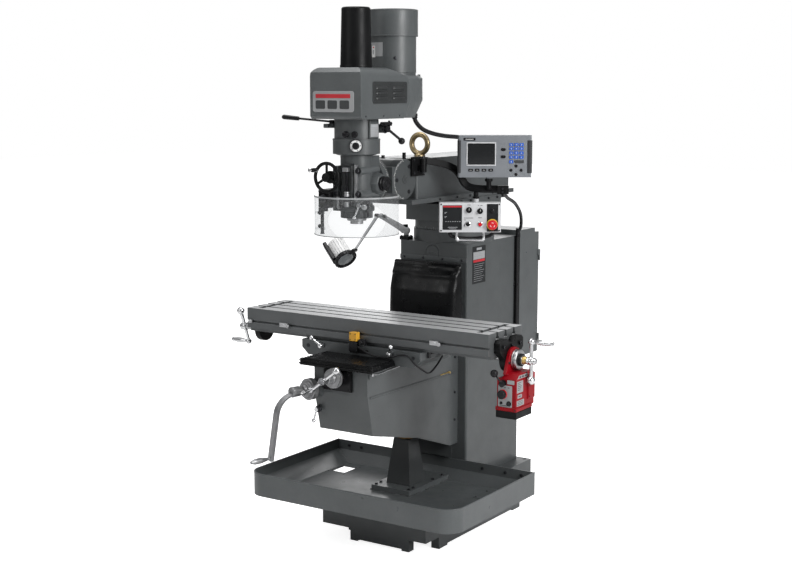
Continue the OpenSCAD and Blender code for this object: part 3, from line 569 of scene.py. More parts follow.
for name, mat, bevel in (
        ("base_casting", "casting", 4), ("chip_pan", "sheet", 1.5), ("drain_cover", "sheet", 0.8),
        ("column_casting", "casting", 5), ("electrical_cabinet", "sheet", 3), ("cabinet_door", "sheet", 1.5),
        # The screw pedestal wears the shaded copy of the casting grey: painted shade.
        ("screw_pedestal", "shaded_casting", 4), ("elevating_nut", "bronze", 1),
                         ("way_cover_strip", "sheet", 1),
        ("column_conduit", "cable", 1), ("lamp_base", "black", 1.5),
        ("lamp_lower_arm", "arm_grey", 1), ("lamp_upper_arm", "steel", 0.5), ("lamp_head", "white", 1),
        ("turret", "casting", 3), ("ram_pinion", "steel_x", 0.5), ("ram", "casting", 4),
                         ("eyebolt", "zinc", 1.5),
        ("arm_bracket", "black", 2), ("support_arm", "black", 1.5), ("readout_console", "console", 3),
        ("control_box", "silver", 2), ("speed_knob", "knob", 1), ("emergency_stop", "button_red", 2),
        # The ram adapter wears the darkened adapter enamel: painted shade.
        ("ram_adapter", "adapter", 3), ("head_casting", "casting", 3), ("belt_cover", "sheet", 6),
        ("drawbar_cover", "black", 2), ("motor", "motor", 3), ("brake_lever", "knob", 1),
        ("range_lever", "knob", 1), ("feed_dial", "white", 0.6), ("feed_gearbox", "black", 3),
        ("fine_feed_wheel", "black", 0), ("quill_lock_lever", "chrome", 0.6), ("quill", "steel", 0.8),
        ("spindle", "steel", 0.8), ("quill_feed_hub", "oxide", 1.5), ("guard_post", "oxide", 0.5),
        ("spindle_guard", "clear", 0), ("knee_casting", "casting", 5), ("bearing_plate", "black", 2),
        ("elevating_screw", "steel", 0.5), ("knee_crank", "crank_steel", 1.5),
                         ("cross_feed_screw", "steel_y", 0.8),
        ("cross_feed_crank", "chrome", 0.5), ("knee_lock_lever", "chrome", 0.5), ("saddle", "casting", 3),
        ("saddle_lock_left", "chrome", 0.5), ("saddle_lock_right", "chrome", 0.5),
                         ("limit_switch", "black", 1.5),
        ("table", "table", 1), ("table_stops", "steel", 0.8), ("table_brackets", "black", 2),
        ("table_leadscrew", "steel_x", 0.8), ("table_cranks", "chrome", 0.5), ("power_feed", "red", 2.5),
        ("power_feed_lever", "knob", 0.8), ("column_way_cover", "rubber", 0),
                         ("front_way_cover", "rubber", 1)):
    dress(name, mat, bevel)


# ---------------------------------------------------------------- readout and control box

PANEL = Matrix.Rotation(math.radians(33.5), 4, "Z")
KEY_COLUMNS = (76.6, 100.7, 124.8)
KEY_ROWS = (55, 36, 16, -3.5, -25)


def at(x, y, z, turn=None):
    """Matrix that turns about Z and then moves to a place."""
    return Matrix.Translation((x, y, z)) @ (turn or Matrix.Identity(4))


def tile(shape, x0, x1, z0, z1, y, thick, r=2.0):
    """Raised tile with round corners on a face that looks along -Y and lies at y."""
    shape.prism([(a, b) for a, b in rounded(x0, x1, z0, z1, r)], (0, y, 0), X, Z, thick)


def readout():
    """Keys, screen, grips, back and plugs of the digital readout."""
    here = at(427, -140, 1892, PANEL)
    bezel = Shape(here)
    for x0, x1, z0, z1 in ((-134, 5, 61, 66), (-134, 5, -44, -39), (-134, -129, -39, 61), (0, 5, -39, 61)):
        bezel.box(x0, x1, -18.4, -16, z0, z1)
    bezel.done("readout_bezel", "console", "silver", 0.8)
    glass = Shape(here)
    glass.box(-129.5, 0.5, -16.6, -14, -39.5, 61.5)
    glass.done("readout_screen", "console", "screen", 0.2)
    black = Shape(here)
    tile(black, -149, -92, 74, 87, -16, 1.0, 3)
    for z in (32, -2):
        tile(black, 27, 51, z - 7, z + 7, -16, 2.2, 6.8)
    for x in (-114, -83, -51, -19):
        tile(black, x - 11, x + 11, -71, -58, -16, 2.4, 3)
    for dx, dz in ((0, 20), (0, -20), (-24, 0), (24, 0)):
        black.lathe((100 + dx, -16, -65 + dz), -Y, [(0, 7.5), (1.8, 7.3), (2.4, 6.2), (2.4, 0)], 28)
    black.done("readout_black_keys", "console", "knob", 0.5)
    blue = Shape(here)
    keys = [(i, x, z) for i, x in enumerate(KEY_COLUMNS) for j, z in enumerate(KEY_ROWS) if i == 0 or j < 4]
    for i, x, z in keys:
        tile(blue, x - 10.2, x + 10.2, z - 7.5, z + 7.5, -16, 2.6, 2.5)
    blue.done("readout_number_keys", "console", "blue", 0.6)
    marks = Shape(here)
    for i, x, z in keys:
        marks.box(x - 2.4, x + 2.4, -18.9, -18.5, z - 0.8 + (i % 2), z + 0.8 + (i % 2))
        marks.box(x - 0.8, x + 0.8, -18.9, -18.5, z - 3.2, z + 3.2)
    marks.box(-140, -101, -17.3, -16.9, 79.2, 81.6)
    for x in (-114, -83, -51, -19):
        marks.box(x - 5, x + 5, -18.8, -18.3, -65.4, -64)
    marks.done("readout_key_marks", "console", "label")
    wide = Shape(here)
    tile(wide, 92, 137, -32, -18, -16, 2.4, 3)
    wide.done("readout_enter_key", "console", "print_dark", 0.6, slot="console_grey")
    grips = Shape(here)
    for s in (-1, 1):
        outline = [(s * 152, -17), (s * 160, -20), (s * 169, -20.5), (s * 175.5, -16), (s * 176.5, -4),
                   (s * 172, -3),
                   (s * 164, -10), (s * 152, -14)]
        if s < 0:
            outline = [(s * 163, -17)] + outline[1:-1] + [(s * 163, -14)]
        grips.prism(outline if s > 0 else outline[::-1], (0, 0, -78), X, Y, 153)
    grips.done("readout_grips", "console", "grip", 1.2, angle=40)
    back = Shape(here)
    tile(back, -150, 150, -80, 80, 43, 3.4, 8)
    for x in (-60, 60):
        back.box(x - 26, x + 26, 40, 46, -30, -12)
    back.done("readout_back_cover", "console", "console", 1)
    screws = Shape(here)
    for x in (-165, 165):
        for z in (-91, 91):
            screws.screw((x, 40, z), Y, 3.2, 2, "pan")
    for x in (-142, 142):
        for z in (-72, 72):
            screws.screw((x, 43, z), Y, 3.2, 2, "pan")
    screws.done("readout_screws", "console", "oxide")
    ports = Shape(here)
    for x in (-100, -76, -52):
        ports.lathe((x, 43, -50), Y, [(0, 8), (10, 8), (10, 6), (22, 6), (30, 3.5), (30, 0)], 24)
    ports.done("readout_connectors", "console", "steel")
    stem = Shape()
    stem.lathe((395, -137, 1772), Z, [(0, 17), (2, 19), (12, 19), (13.5, 17), (13.5, 0)], 36)
    stem.done("readout_swivel_collar", "arm", "black")


def control_panel():
    """Panels, print, knobs, lamps and handle of the control box."""
    here = at(331, -200, 1601, PANEL)
    black = Shape(here)
    tile(black, -131, -39, -58, 59, 0, 1.2, 2)
    tile(black, 79, 133, -67, 65, 0, 1.2, 2)
    black.done("control_black_panels", "controls", "panel_black", 0.3)
    red = Shape(here)
    tile(red, -129, -41, 49, 57, -1.2, 0.4, 1)
    red.done("control_panel_band", "controls", "print_red")
    marks = Shape(here)
    for z in (20, 0):
        marks.box(-122, -110, -1.6, -1.2, z + 4, z + 6)
        marks.box(-122, -116, -1.6, -1.2, z - 1, z + 1)
    for k in range(7):
        marks.box(-118 + 11 * k, -112 + 11 * k, -1.6, -1.2, -20, -17)
    marks.box(-106, -60, -1.6, -1.2, -47, -44.5)
    marks.box(-100, -66, -1.6, -1.2, -54, -52)
    for x, z, n in ((-6, 36, 7), (47, 31, 5)):
        for k in range(n):
            a = math.radians(-45 + 270 * k / (n - 1))
            c = (x + 18 * math.cos(a), z + 18 * math.sin(a))
            marks.prism([(c[0] - 1, c[1] - 1), (c[0] + 1, c[1] - 1), (c[0] + 1, c[1] + 1),
                         (c[0] - 1, c[1] + 1)],
                        (0, -0.05, 0), X, Z, 0.4)
    marks.done("control_marks", "controls", "print_mid")
    text = Shape(here)
    for x0, x1, z0, z1 in ((-14, 2, 59, 61.5), (36, 42, 57, 59.5), (48, 58, 57, 59.5), (-30, 14, -3, -0.5),
                           (-30, -20, -12, -9.5), (38, 56, -2, 0.5), (-28, -24, -40, -30)):
        text.box(x0, x1, -0.4, 0.2, z0, z1)
    text.done("control_print", "controls", "print_dark", slot="panel_silver")
    knobs = Shape(here)
    knobs.lathe((47, 0, 31), -Y, [(0, 14), (2, 14), (2, 11), (5, 10.5), (17, 9.6), (18, 8.6), (18, 0)], 32)
    knobs.lathe((-11, -3, -32), -Y, [(0, 10), (3, 10), (3, 8.5), (14, 7.5), (15, 6.5), (15, 0)], 32)
    for x in (-138, 138):
        for z in (-62, 63):
            knobs.screw((x, 0, z), -Y, 4.2, 2.2, "pan")
    knobs.done("control_selectors", "controls", "knob", 0.4)
    index = Shape(here)
    index.box(46, 48, -18.6, -17.6, 31, 40)
    index.done("control_selector_index", "controls", "label")
    index = Shape(here)
    index.box(-6.8, -5.2, -18.7, -17.7, 36, 45.5)
    index.done("speed_knob_index", "knob", "label")
    skirt = Shape(here)
    skirt.lathe((-6, 0.2, 36), -Y, [(0.3, 14.5), (2.4, 14), (2.4, 11.2), (0.3, 11.2)], 32)
    skirt.done("speed_knob_skirt", "knob", "knob")
    chrome = Shape(here)
    chrome.lathe((-11, 0, -32), -Y, [(0, 14.5), (3, 14), (4, 12.5), (4, 8), (0.5, 8)], 36)
    chrome.lathe((47, 0, -32), -Y, [(0, 13), (3, 12.6), (4, 11.4), (4, 9), (0.5, 9)], 36)
    chrome.done("control_bezels", "controls", "chrome")
    chrome = Shape(here)
    for x in (-62, 66):
        chrome.rod((x, 24, -72), (x, 24, -70.1), 11, n=28)
    path = [(-62, 24, -70), (-62, 24, -97), (-58, 24, -106), (-50, 24, -110), (54, 24, -110), (62, 24, -106),
            (66, 24, -97), (66, 24, -70)]
    chrome.sweep(path, circle(0, 0, 6.35, 20), up=(0, 1, 0))
    chrome.done("control_handle", "controls", "chrome")
    press = Shape(here)
    press.lathe((47, -3, -32), -Y, [(0, 9), (5, 9), (6, 8), (6, 0)], 28)
    press.done("control_push_button", "controls", "button_red", 0.3)
    lamp = Shape(here)
    lamp.lathe((105, -1, 33), -Y, [(0, 13), (3, 13), (4, 11.5), (5, 10), (9, 8), (11, 4), (11.4, 0)], 32)
    lamp.done("control_pilot_lamp", "controls", "knob")
    ring = Shape(here)
    ring.lathe((105, -1, -33), -Y, [(0, 26.6), (2.2, 26.2), (2.6, 25.4), (2.6, 10), (0, 10)], 44)
    ring.done("control_stop_ring", "controls", "yellow")
    cap = Shape(here)
    cap.lathe((105, -14, -33), -Y, [(-3, 14), (-0.5, 22), (1, 23.4), (9, 23.6), (11.5, 22), (12.6, 17),
                                    (13, 9), (13, 0)], 44)
    cap.done("stop_button_cap", "stop_button", "button_red")
    dots = Shape(here)
    for k in range(3):
        a = math.radians(90 + 120 * k)
        dots.prism(arc(105, -33, 12, a - 0.5, a + 0.4, 4) + arc(105, -33, 9, a + 0.4, a - 0.5, 4),
                   (0, -27.0, 0), X, Z, 0.4)
    dots.done("stop_button_arrows", "stop_button", "label")
    loop = Shape()
    hang = [(-95, 40, -66), (-88, 46, -92), (-30, 58, -104), (40, 66, -104), (96, 70, -94), (112, 66, -78),
            (112, 56, -60)]
    loop.hose([here @ Vector(v) for v in hang], 8.5, 12, 18)
    loop.done("control_cable_loop", "controls", "cable")
    gland = Shape(here)
    gland.lathe((-95, 40, -70), -Z, [(-4, 13), (4, 13), (5, 11), (12, 11), (14, 9), (14, 0)], 6)
    gland.lathe((112, 56, -70), -Z, [(-4, 13), (4, 13), (5, 11), (8, 11), (10, 9), (10, 0)], 6)
    gland.done("control_cable_glands", "controls", "knob", 0.4)


readout()
control_panel()


# ---------------------------------------------------------------- readout arm, ram and turret

ARM_END = at(455, -101, 1731, PANEL)


def support_arm():
    """Bent bar that carries the readout, from its post beside the ram."""
    arm = Shape()
    arm.lathe((ARM_X, ARM_Y, 1856.2), Z, [(0, 17), (25, 17), (27.6, 15), (27.6, 0)], 32)
    path = spline([(ARM_X, ARM_Y, 1875), (194, -284, 1862), (228, -224, 1844), (254, -184, 1812),
                   (284, -163, 1754),
                   (330, -148, 1737), (400, -122, 1735), (470, -95, 1735)], 7)
    arm.sweep(path, [(a * 0.62, b) for a, b in rounded(-16, 16, -16.5, 16.5, 4, 3)])
    arm.place = ARM_END
    arm.prism(rounded(-30, 24, -19, 22, 3), (0, -14, 0), X, Z, -30)
    arm.place = Matrix.Identity(4)
    arm.rod((395, -137, 1734), (395, -137, 1785.6), 12, n=32, soft=1)
    arm.rod((329.5, -143.4, 1688), (329.5, -143.4, 1740), 12, n=32, soft=1)
    arm.lathe((329.5, -143.4, 1689), Z, [(0, 16), (9, 16), (10, 14)], 32)
    o = arm.done("support_arm_bar", "arm", "black", 1.2)
    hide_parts("support_arm")
    bolts = Shape()
    for v in ((-6, -15.4, 8), (-6, -15.4, -8)):
        bolts.screw(ARM_END @ Vector(v), PANEL.to_3x3() @ -Y, 5, 5)
    bolts.screw((ARM_X, ARM_Y, 1883.6), Z, 8, 6, "hex")
    bolts.done("support_arm_screws", "arm", "oxide", 0.3)


def nod_scale():
    """Pivot plugs, clamp screws and both scales of the ram adapter."""
    body = Shape()
    for s in (-1, 1):
        body.lathe((s * 119.5, NOD_Y, NOD_Z), X * s,
                   [(0, 21), (1.4, 21), (2.4, 20), (2.4, 14), (0.9, 13), (0.9, 0)], 40)
    # The pivot plugs wear the shaded copy of the casting grey: painted shade.
    body.done("adapter_pivot_plugs", "adapter", "shaded_casting", 0.4)
    screws = Shape()
    for s in (-1, 1):
        for a in (60, 180, 300):
            c = (s * 119.8, NOD_Y + 68 * math.cos(math.radians(a)), NOD_Z + 68 * math.sin(math.radians(a)))
            screws.screw(c, X * s, 9.5, 3.8)
    screws.done("adapter_lock_screws", "adapter", "oxide", 0.4)
    ticks = Shape()
    for s in (-1, 1):
        for k in range(45):
            a = math.radians(100 + 160 * k / 44)
            r0 = 84 if k % 4 == 0 else 88
            c, n = Vector((0, math.cos(a), math.sin(a))), Vector((0, -math.sin(a), math.cos(a)))
            o = Vector((s * 119.9, NOD_Y, NOD_Z))
            p = [o + c * r0 - n * 0.9, o + c * 92.5 - n * 0.9, o + c * 92.5 + n * 0.9, o + c * r0 + n * 0.9]
            q = [v + X * s * 0.5 for v in p]
            ticks.slab(p, q)
    for k in range(37):
        a = math.radians(-90 + 180 * k / 36)
        l = 10 if k % 3 == 0 else 6.5
        c = Vector((math.cos(a), 0, math.sin(a)))
        n = Vector((-math.sin(a), 0, math.cos(a)))
        o = Vector((0, -560 + 0.8, NOD_Z)) + c * 99.8
        p = [o - n * 0.7, o - n * 0.7 + Y * l, o + n * 0.7 + Y * l, o + n * 0.7]
        q = [v + c * 0.6 for v in p]
        ticks.slab(p, q)
    ticks.done("adapter_graduations", "adapter", "label")


def ram_details():
    """Screws, oil posts, rear cap and eyebolt of the ram."""
    bracket = Shape()
    for y, z in ((-386, 1876), (-304, 1876), (-386, 1814), (-304, 1814)):
        bracket.screw((132, y, z), X, 6.5, 5.5)
    bracket.screw((ARM_X, ARM_Y, 1818), -Z, 9, 6, "hex")
    bracket.done("arm_bracket_screws", "ram", "oxide", 0.4)
    post = Shape()
    post.lathe((60, -360, 1877), Z, [(0, 11), (5, 11), (6, 8.5), (30, 8.5), (32, 7), (32, 0)], 28)
    post.lathe((-60, -360, 1877), Z, [(0, 11), (5, 11), (6, 8.5), (14, 8.5), (16, 7), (16, 0)], 28)
    post.done("ram_oil_posts", "ram", "knob", 0.3)
    plugs = Shape()
    for y in (-181, -20, 104, 330):
        plugs.screw((150, y, 1679.5), X, 5.5, 4.5)
    for x in (-90, 90):
        for z in (1720, 1850):
            plugs.screw((x, 557, z), Y, 7, 5, "pan")
    plugs.done("ram_gib_screws", "ram", "oxide", 0.3)
    cap = Shape()
    cap.prism(rounded(-108, 108, 1700, 1868, 12), (0, 557, 0), X, Z, -4)
    cap.done("ram_rear_cap", "ram", "sheet", 1)
    collar = Shape()
    collar.lathe((0, EYEBOLT_Y, 1880), Z, [(0, 27), (6, 27), (9, 25), (9, 15), (0, 15)], 40)
    collar.done("eyebolt_washer", "ram", "zinc")
    eye = Shape()
    eye.ring((0, EYEBOLT_Y, 1940), Y, 45.5, 13.2, 64, 28)
    eye.lathe((0, EYEBOLT_Y, 1871.5), Z, [(0, 9.6), (8, 9.6), (8, 24), (17, 24), (20, 19), (24, 17),
                                          (24, 0)], 44)
    o = eye.done("eyebolt_forging", "ram", "zinc")
    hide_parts("eyebolt")


def turret_details():
    """Clamp bolts and degree scale of the turret."""
    bolts = Shape()
    for s in (-1, 1):
        for y in (150, 250):
            bolts.lathe((s * 174, y, 1556), Z, [(0, 14), (3, 14)], 28)
            bolts.lathe((s * 174, y, 1559), Z, [(0, 11), (12, 11), (14, 9.5)], 6)
        for y in (20, 110, 290, 380):
            bolts.screw((s * 150, y, 1654), X * s, 6.5, 5.5)
    bolts.done("turret_bolts", "turret", "oxide", 0.4)
    scale = Shape()
    for k in range(91):
        a = math.radians(-225 + 270 * k / 90)
        h = 14 if k % 5 == 0 else 8
        c, n = Vector((math.cos(a), math.sin(a), 0)), Vector((-math.sin(a), math.cos(a), 0))
        o = Vector((0, 200, 1507)) + c * 198.8
        p = [o - n * 0.7, o - n * 0.7 + Z * h, o + n * 0.7 + Z * h, o + n * 0.7]
        q = [v + c * 0.7 for v in p]
        scale.slab(p, q)
    scale.done("turret_graduations", "turret", "print_mid")
    lever = Shape()
    lever.lathe((172, 150, 1627), X, [(0, 20), (10, 20), (12, 18), (12, 0)], 6)
    lever.done("pinion_hexagon", "pinion", "oxide", 0.4)


support_arm()
nod_scale()
ram_details()
turret_details()


# ---------------------------------------------------------------- head

def tick_ring(shape, centre, axis, radius, count, a0, a1, long, short, every, width=0.7, along=None):
    """Graduation marks on the rim of a dial, or on its face when along is None."""
    axis = Vector(axis).normalized()
    u = axis.orthogonal().normalized()
    v = axis.cross(u)
    for k in range(count):
        a = math.radians(a0 + (a1 - a0) * k / max(1, count - 1))
        l = long if k % every == 0 else short
        c, n = u * math.cos(a) + v * math.sin(a), v * math.cos(a) - u * math.sin(a)
        o = Vector(centre) + c * radius
        if along is None:
            p, lift = [o - n * width, o - n * width - c * l, o + n * width - c * l,
                       o + n * width], axis * 0.35
        else:
            p, lift = [o - n * width, o - n * width + axis * l, o + n * width + axis * l,
                       o + n * width], c * 0.35
        p = [x - lift for x in p]
        q = [x + lift * 2 for x in p]
        shape.slab(p, q)


def cover_details():
    """Plates and louvres of the belt housing, and the motor above it."""
    plate = Shape()
    tile(plate, -123, 103, 2104, 2197, -828, 2.6, 12)
    plate.done("cover_name_plate", "head", "plate_grey", 0.8)
    mark = Shape()
    mark.box(-106, 84, -831.4, -830, 2166, 2184)
    mark.done("cover_plate_band", "head", "print_red")
    mark = Shape()
    for x in (-106, -40, 26):
        tile(mark, x, x + 52, 2118, 2156, -830.4, 1.0, 6)
    mark.done("cover_plate_blocks", "head", "print_dark", 0.2)
    for s, name in ((1, "right"), (-1, "left")):
        # The plates and hoods below use the darkened louvre enamel: painted shade.
        louvre = Shape()
        pts = rounded(-738, -458, 2141, 2239, 10)
        louvre.prism([(a * s, b) for a, b in pts], (s * 139.6, 0, 0), Y * s, Z, 2.2)
        louvre.done("cover_louvre_plate_" + name, "head", "louvre", 0.6)
        hoods = Shape()
        for y in (-668, -532):
            for z in (2212, 2190, 2167):
                out = [(-46, 0), (-46, 3), (-40, 8), (40, 8), (46, 3), (46, 0)]
                rows = []
                for t in range(7):
                    f = t / 6
                    rows.append((math.sin(f * math.pi * 0.5), 6.5 - 13 * f))
                verts, faces = [], []
                for f, dz in rows:
                    for dy, h in out:
                        verts.append((s * (141.6 + max(0.05, h * (1 - (1 - f) ** 2) * 0.8)),
                                      y + dy * (0.9 + 0.1 * f), z + dz))
                for r in range(len(rows) - 1):
                    for c in range(5):
                        a = r * 6 + c
                        faces.append((a, a + 1, a + 7, a + 6))
                faces.append(tuple(range(len(verts) - 6, len(verts))))
                faces += [(r * 6, (r + 1) * 6, (r + 1) * 6 + 5, r * 6 + 5) for r in range(len(rows) - 1)]
                hoods._add(verts, faces)
        hoods.done("cover_louvres_" + name, "head", "louvre", angle=30)
        screws = Shape()
        for y in (-726, -600, -470):
            for z in (2152, 2228):
                screws.screw((s * 141.6, y, z), X * s, 4.2, 2.4, "pan")
        for y in (-790, -650, -520):
            screws.screw((s * 139.8, y, 2086), X * s, 4.5, 3, "pan")
        screws.done("cover_screws_" + name, "head", "oxide")
    bolts = Shape()
    for x, y in ((88, -453), (-88, -453), (92, -281), (-92, -281)):
        bolts.screw((x, y, 2265), Z, 7, 9, "hex")
    bolts.done("motor_flange_bolts", "head", "oxide", 0.3)
    seam = Shape()
    seam.lathe((0, MOTOR_Y, 2264.5), Z, [(0, 124), (3, 124), (4.5, 122), (4.5, 108), (0, 108)], 72)
    seam.done("motor_flange", "head", "motor")
    n = Vector((-0.236, -0.967, 0)).normalized()
    side = Vector((n.y, -n.x, 0)) * -1
    for name, w0, w1, z0, z1, mat, lift in (("plate", -34, 42, 2356, 2420, "plate_grey", 0.5),
                                            ("patch", -26, -2, 2352, 2405, "label", 0.9),
                                            ("spot", -18, -8, 2394, 2401, "print_red", 1.2),
                                            ("text", -20, -9, 2366, 2386, "print_mid", 1.2)):
        label = Shape()
        rows = 9
        verts, faces = [], []
        for k in range(rows):
            a = (w0 + (w1 - w0) * k / (rows - 1)) / 110
            d = n * math.cos(a) + side * math.sin(a)
            for z in (z0, z1):
                for h in (-0.5, lift):
                    verts.append(Vector((0, MOTOR_Y, z)) + d * (110 + h))
        for k in range(rows - 1):
            a, b = 4 * k, 4 * k + 4
            faces += [(a + 1, a + 3, b + 3, b + 1), (a, b, b + 2, a + 2), (a, a + 1, b + 1, b),
                      (a + 2, b + 2, b + 3, a + 3)]
        faces += [(0, 2, 3, 1), (len(verts) - 4, len(verts) - 3, len(verts) - 1, len(verts) - 2)]
        label._add(verts, faces)
        label.done("motor_label_" + name, "head", mat, slot="panel_silver")
    screw = Shape()
    screw.screw((70, -450, 2348), (0.638, -0.757, 0), 8, 2.5, "pan")
    screw.screw((-96, -420, 2348), (-0.85, -0.5, 0), 5, 2.5, "pan")
    screw.done("motor_plug", "head", "oxide")
    lip = Shape()
    lip.lathe((0, MOTOR_Y, 2449), Z, [(0, 112), (0, 118.6), (3, 119), (5, 118.4), (5, 112)], 80)
    lip.lathe((0, MOTOR_Y, 2565), Z, [(0, 118.4), (2, 119), (5, 118), (8.4, 112), (8.4, 100), (6, 100),
                                      (6, 110)], 80)
    lip.done("motor_cowl_beads", "head", "motor")
    grille = Shape()
    for r in (22, 38, 54):
        grille.ring((0, MOTOR_Y, 2573), Z, r, 2.2, 56, 8)
    grille.lathe((0, MOTOR_Y, 2571), Z, [(0, 15), (3, 15), (4, 13), (4, 0)], 36)
    grille.done("motor_grille_rings", "head", "oxide")


def head_details():
    """Dials, levers, stops and fixings of the head below the belt housing."""
    dial = Shape()
    d = Vector((math.cos(math.radians(-56.4)), math.sin(math.radians(-56.4)), 0))
    c = Vector((0, SPINDLE_Y, 1953))
    dial.lathe(c + d * 117.1, d, [(0, 16.5), (2.2, 16), (2.6, 13.5), (16, 12.6), (17.5, 11), (17.5, 0)], 40)
    dial.done("feed_dial_knob", "dial", "knob", 0.3)
    marks = Shape()
    tick_ring(marks, c + d * 117.3, d, 25, 5, 0, 288, 6.5, 6.5, 1, 1.6)
    tick_ring(marks, c + d * 117.3, d, 25, 30, 0, 348, 2.5, 2.5, 1, 0.5)
    marks.done("feed_dial_marks", "dial", "print_dark")
    seat = Shape()
    seat.lathe(c + d * 106, d, [(0, 31), (5, 30), (5.8, 28.6), (5.8, 10), (0, 10)], 44)
    seat.done("feed_dial_seat", "head", "oxide", 0.2)
    plate = Shape()
    plate.box(94, 103.5, -706, -634, 1984, 2066)
    plate.box(60, 104, -700, -640, 2046, 2062)
    plate.done("neck_side_pad", "head", "casting", 3)
    label = Shape()
    label.box(103, 104.4, -702, -640, 1992, 2050)
    label.done("neck_data_plate", "head", "plate_grey", 0.3)
    text = Shape()
    text.box(104.2, 104.9, -697, -645, 2036, 2047)
    for z in (2028, 2020, 2012, 2004):
        text.box(104.2, 104.8, -696, -664, z, z + 3)
        text.box(104.2, 104.8, -660, -648, z, z + 3)
    text.done("neck_data_plate_lines", "head", "print_mid", slot="black_paint")
    shift = Shape()
    shift.lathe((52, -752, 2004), (0.5, -0.866, 0),
                [(0, 15), (9, 15), (11, 13), (20, 12), (21, 10), (21, 0)], 30)
    shift.lathe((14, -763, 2004), (0.14, -0.99, 0),
                [(0, 15), (9, 15), (11, 13), (20, 12), (21, 10), (21, 0)], 30)
    shift.done("neck_plungers", "head", "knob", 0.4)
    link = Shape()
    link.lathe((112, -600, 2028), X, [(0, 22), (4, 22), (5, 20), (5, 0)], 32)
    link.box(108, 132, -628, -570, 2040, 2058)
    link.rod((118, -640, 2050), (118, -556, 2050), 7, soft=1)
    link.rod((126, -585, 2064), (126, -585, 2026), 5, soft=1)
    link.done("range_linkage", "head", "knob", 0.8)
    knob = Shape()
    knob.ball((143, -507, 1969), 15.6, 14)
    knob.done("range_lever_ball", "range", "knob")
    ball = Shape()
    ball.rod((-246, -773.4, 2072), (-312, -805.5, 2079.4), 9.6, 10.8, 28, 3)
    ball.done("brake_lever_grip", "brake", "knob")
    slot = Shape()
    slot.box(-15, 25, -745, -690, 1700, 1868)
    slot.box(-22, -15, -746.5, -690, 1690, 1872)
    slot.box(25, 32, -746.5, -690, 1690, 1872)
    slot.box(-22, 32, -746.5, -690, 1862, 1876)
    slot.box(-22, 32, -746.5, -690, 1682, 1700)
    # The stop guide wears the shaded copy of the casting grey: painted shade.
    slot.done("depth_stop_guide", "head", "shaded_casting", 1.6)
    screw = Shape()
    n = 60
    prof = []
    for k in range(n + 1):
        prof += [(156 * k / n, 7.2), (156 * (k + 0.5) / n, 5.8)]
    screw.lathe((6, -752, 1702), Z, prof, 24)
    screw.done("depth_stop_screw", "head", "oxide", angle=80)
    nut = Shape()
    nut.lathe((6, -752, 1724), Z, [(0, 12), (1, 13), (11, 13), (12, 12), (12, 7)], 28)
    nut.lathe((6, -752, 1738), Z, [(0, 12), (1, 13), (6, 13), (7, 12), (7, 7)], 28)
    nut.lathe((6, -752, 1676), Z, [(0, 9), (1, 12.5), (20, 12.5), (24, 9), (24, 7)], 28)
    nut.done("depth_stop_nuts", "head", "steel", 0.3)
    block = Shape()
    block.box(-8, 22, -768, -740, 1836, 1854)
    block.done("quill_stop_block", "head", "steel", 1.5)
    rule = Shape()
    rule.box(36, 48, -737, -720, 1702, 1866)
    rule.done("depth_scale_plate", "head", "steel", 0.4)
    marks = Shape()
    for k in range(33):
        marks.box(37, 41 if k % 4 else 45, -737.4, -736.9, 1706 + 4.8 * k, 1706.7 + 4.8 * k)
    marks.done("depth_scale_marks", "head", "print_dark")
    for x in (-60, 60):
        for z in (1734, 1840):
            tag = ("left" if x < 0 else "right") + ("_low" if z < NOD_Z else "_high")
            sleeve = Shape()
            sleeve.lathe((x, -735, z), Y, [(0, 16), (3, 18.5), (150, 18.5), (152, 17)], 36)
            sleeve.done("tilt_sleeve_" + tag, "head", "sheet", 0.6)
            bolt = Shape()
            bolt.lathe((x, -735.5, z), -Y, [(0, 14.5), (2.5, 14.5)], 30)
            bolt.lathe((x, -738, z), -Y, [(0, 12), (10, 12), (12, 10.4), (12, 0)], 6)
            bolt.done("tilt_bolt_" + tag, "head", "oxide", 0.4)
    boss = Shape()
    boss.lathe((66, QUILL_FEED_Y, QUILL_FEED_Z), X,
               [(0, 52), (24, 50), (40, 42), (41, 34), (38, 33), (38, 10)], 8)
    boss.done("quill_feed_boss", "head", "sheet", 3)
    hub = Shape()
    hub.lathe((105.5, QUILL_FEED_Y, QUILL_FEED_Z), X,
              [(0, 31), (3, 34), (12, 34), (14, 31), (17, 33), (26, 33), (29, 30), (29, 16),
                                       (33, 15), (34, 13), (34, 0)], 44)
    for k in range(3):
        a = math.radians(20 + 120 * k)
        o = Vector((120, QUILL_FEED_Y + 27 * math.cos(a), QUILL_FEED_Z + 27 * math.sin(a)))
        hub.lathe(o + X * 12, X, [(0, 5), (3.6, 5), (4.4, 4), (4.4, 0)], 20)
    hub.done("quill_feed_hub_cap", "feed_hub", "knob", 0.5)
    box = Shape()
    for x in (-131, -85):
        for z in (1677, 1743):
            box.screw((x, -775, z), -Y, 4.5, 4)
    for y in (-762, -655):
        for z in (1677, 1743):
            box.screw((-140, y, z), -X, 4.5, 4)
    box.lathe((-108, -775, 1712), -Y, [(0, 17), (8, 17), (10, 14), (16, 11), (16, 0)], 32)
    box.done("feed_gearbox_hardware", "head", "oxide", 0.4)
    gear = Shape()
    gear.lathe((WHEEL_X, -771, WHEEL_Z), -Y, [(0, 29), (12, 29), (14, 27), (14, 20), (26, 19), (27, 17),
                                              (27, 10)], 48)
    gear.done("feed_wheel_bearing", "head", "black", 0.6)
    chrome = Shape()
    chrome.lathe((-116, -812, 1844), -Y, [(0, 5), (2, 8.5), (14, 10.5), (34, 11), (48, 9), (56, 10.2),
                                          (60, 6), (60, 0)], 30)
    chrome.done("feed_wheel_handle", "feed_wheel", "chrome")
    hub = Shape()
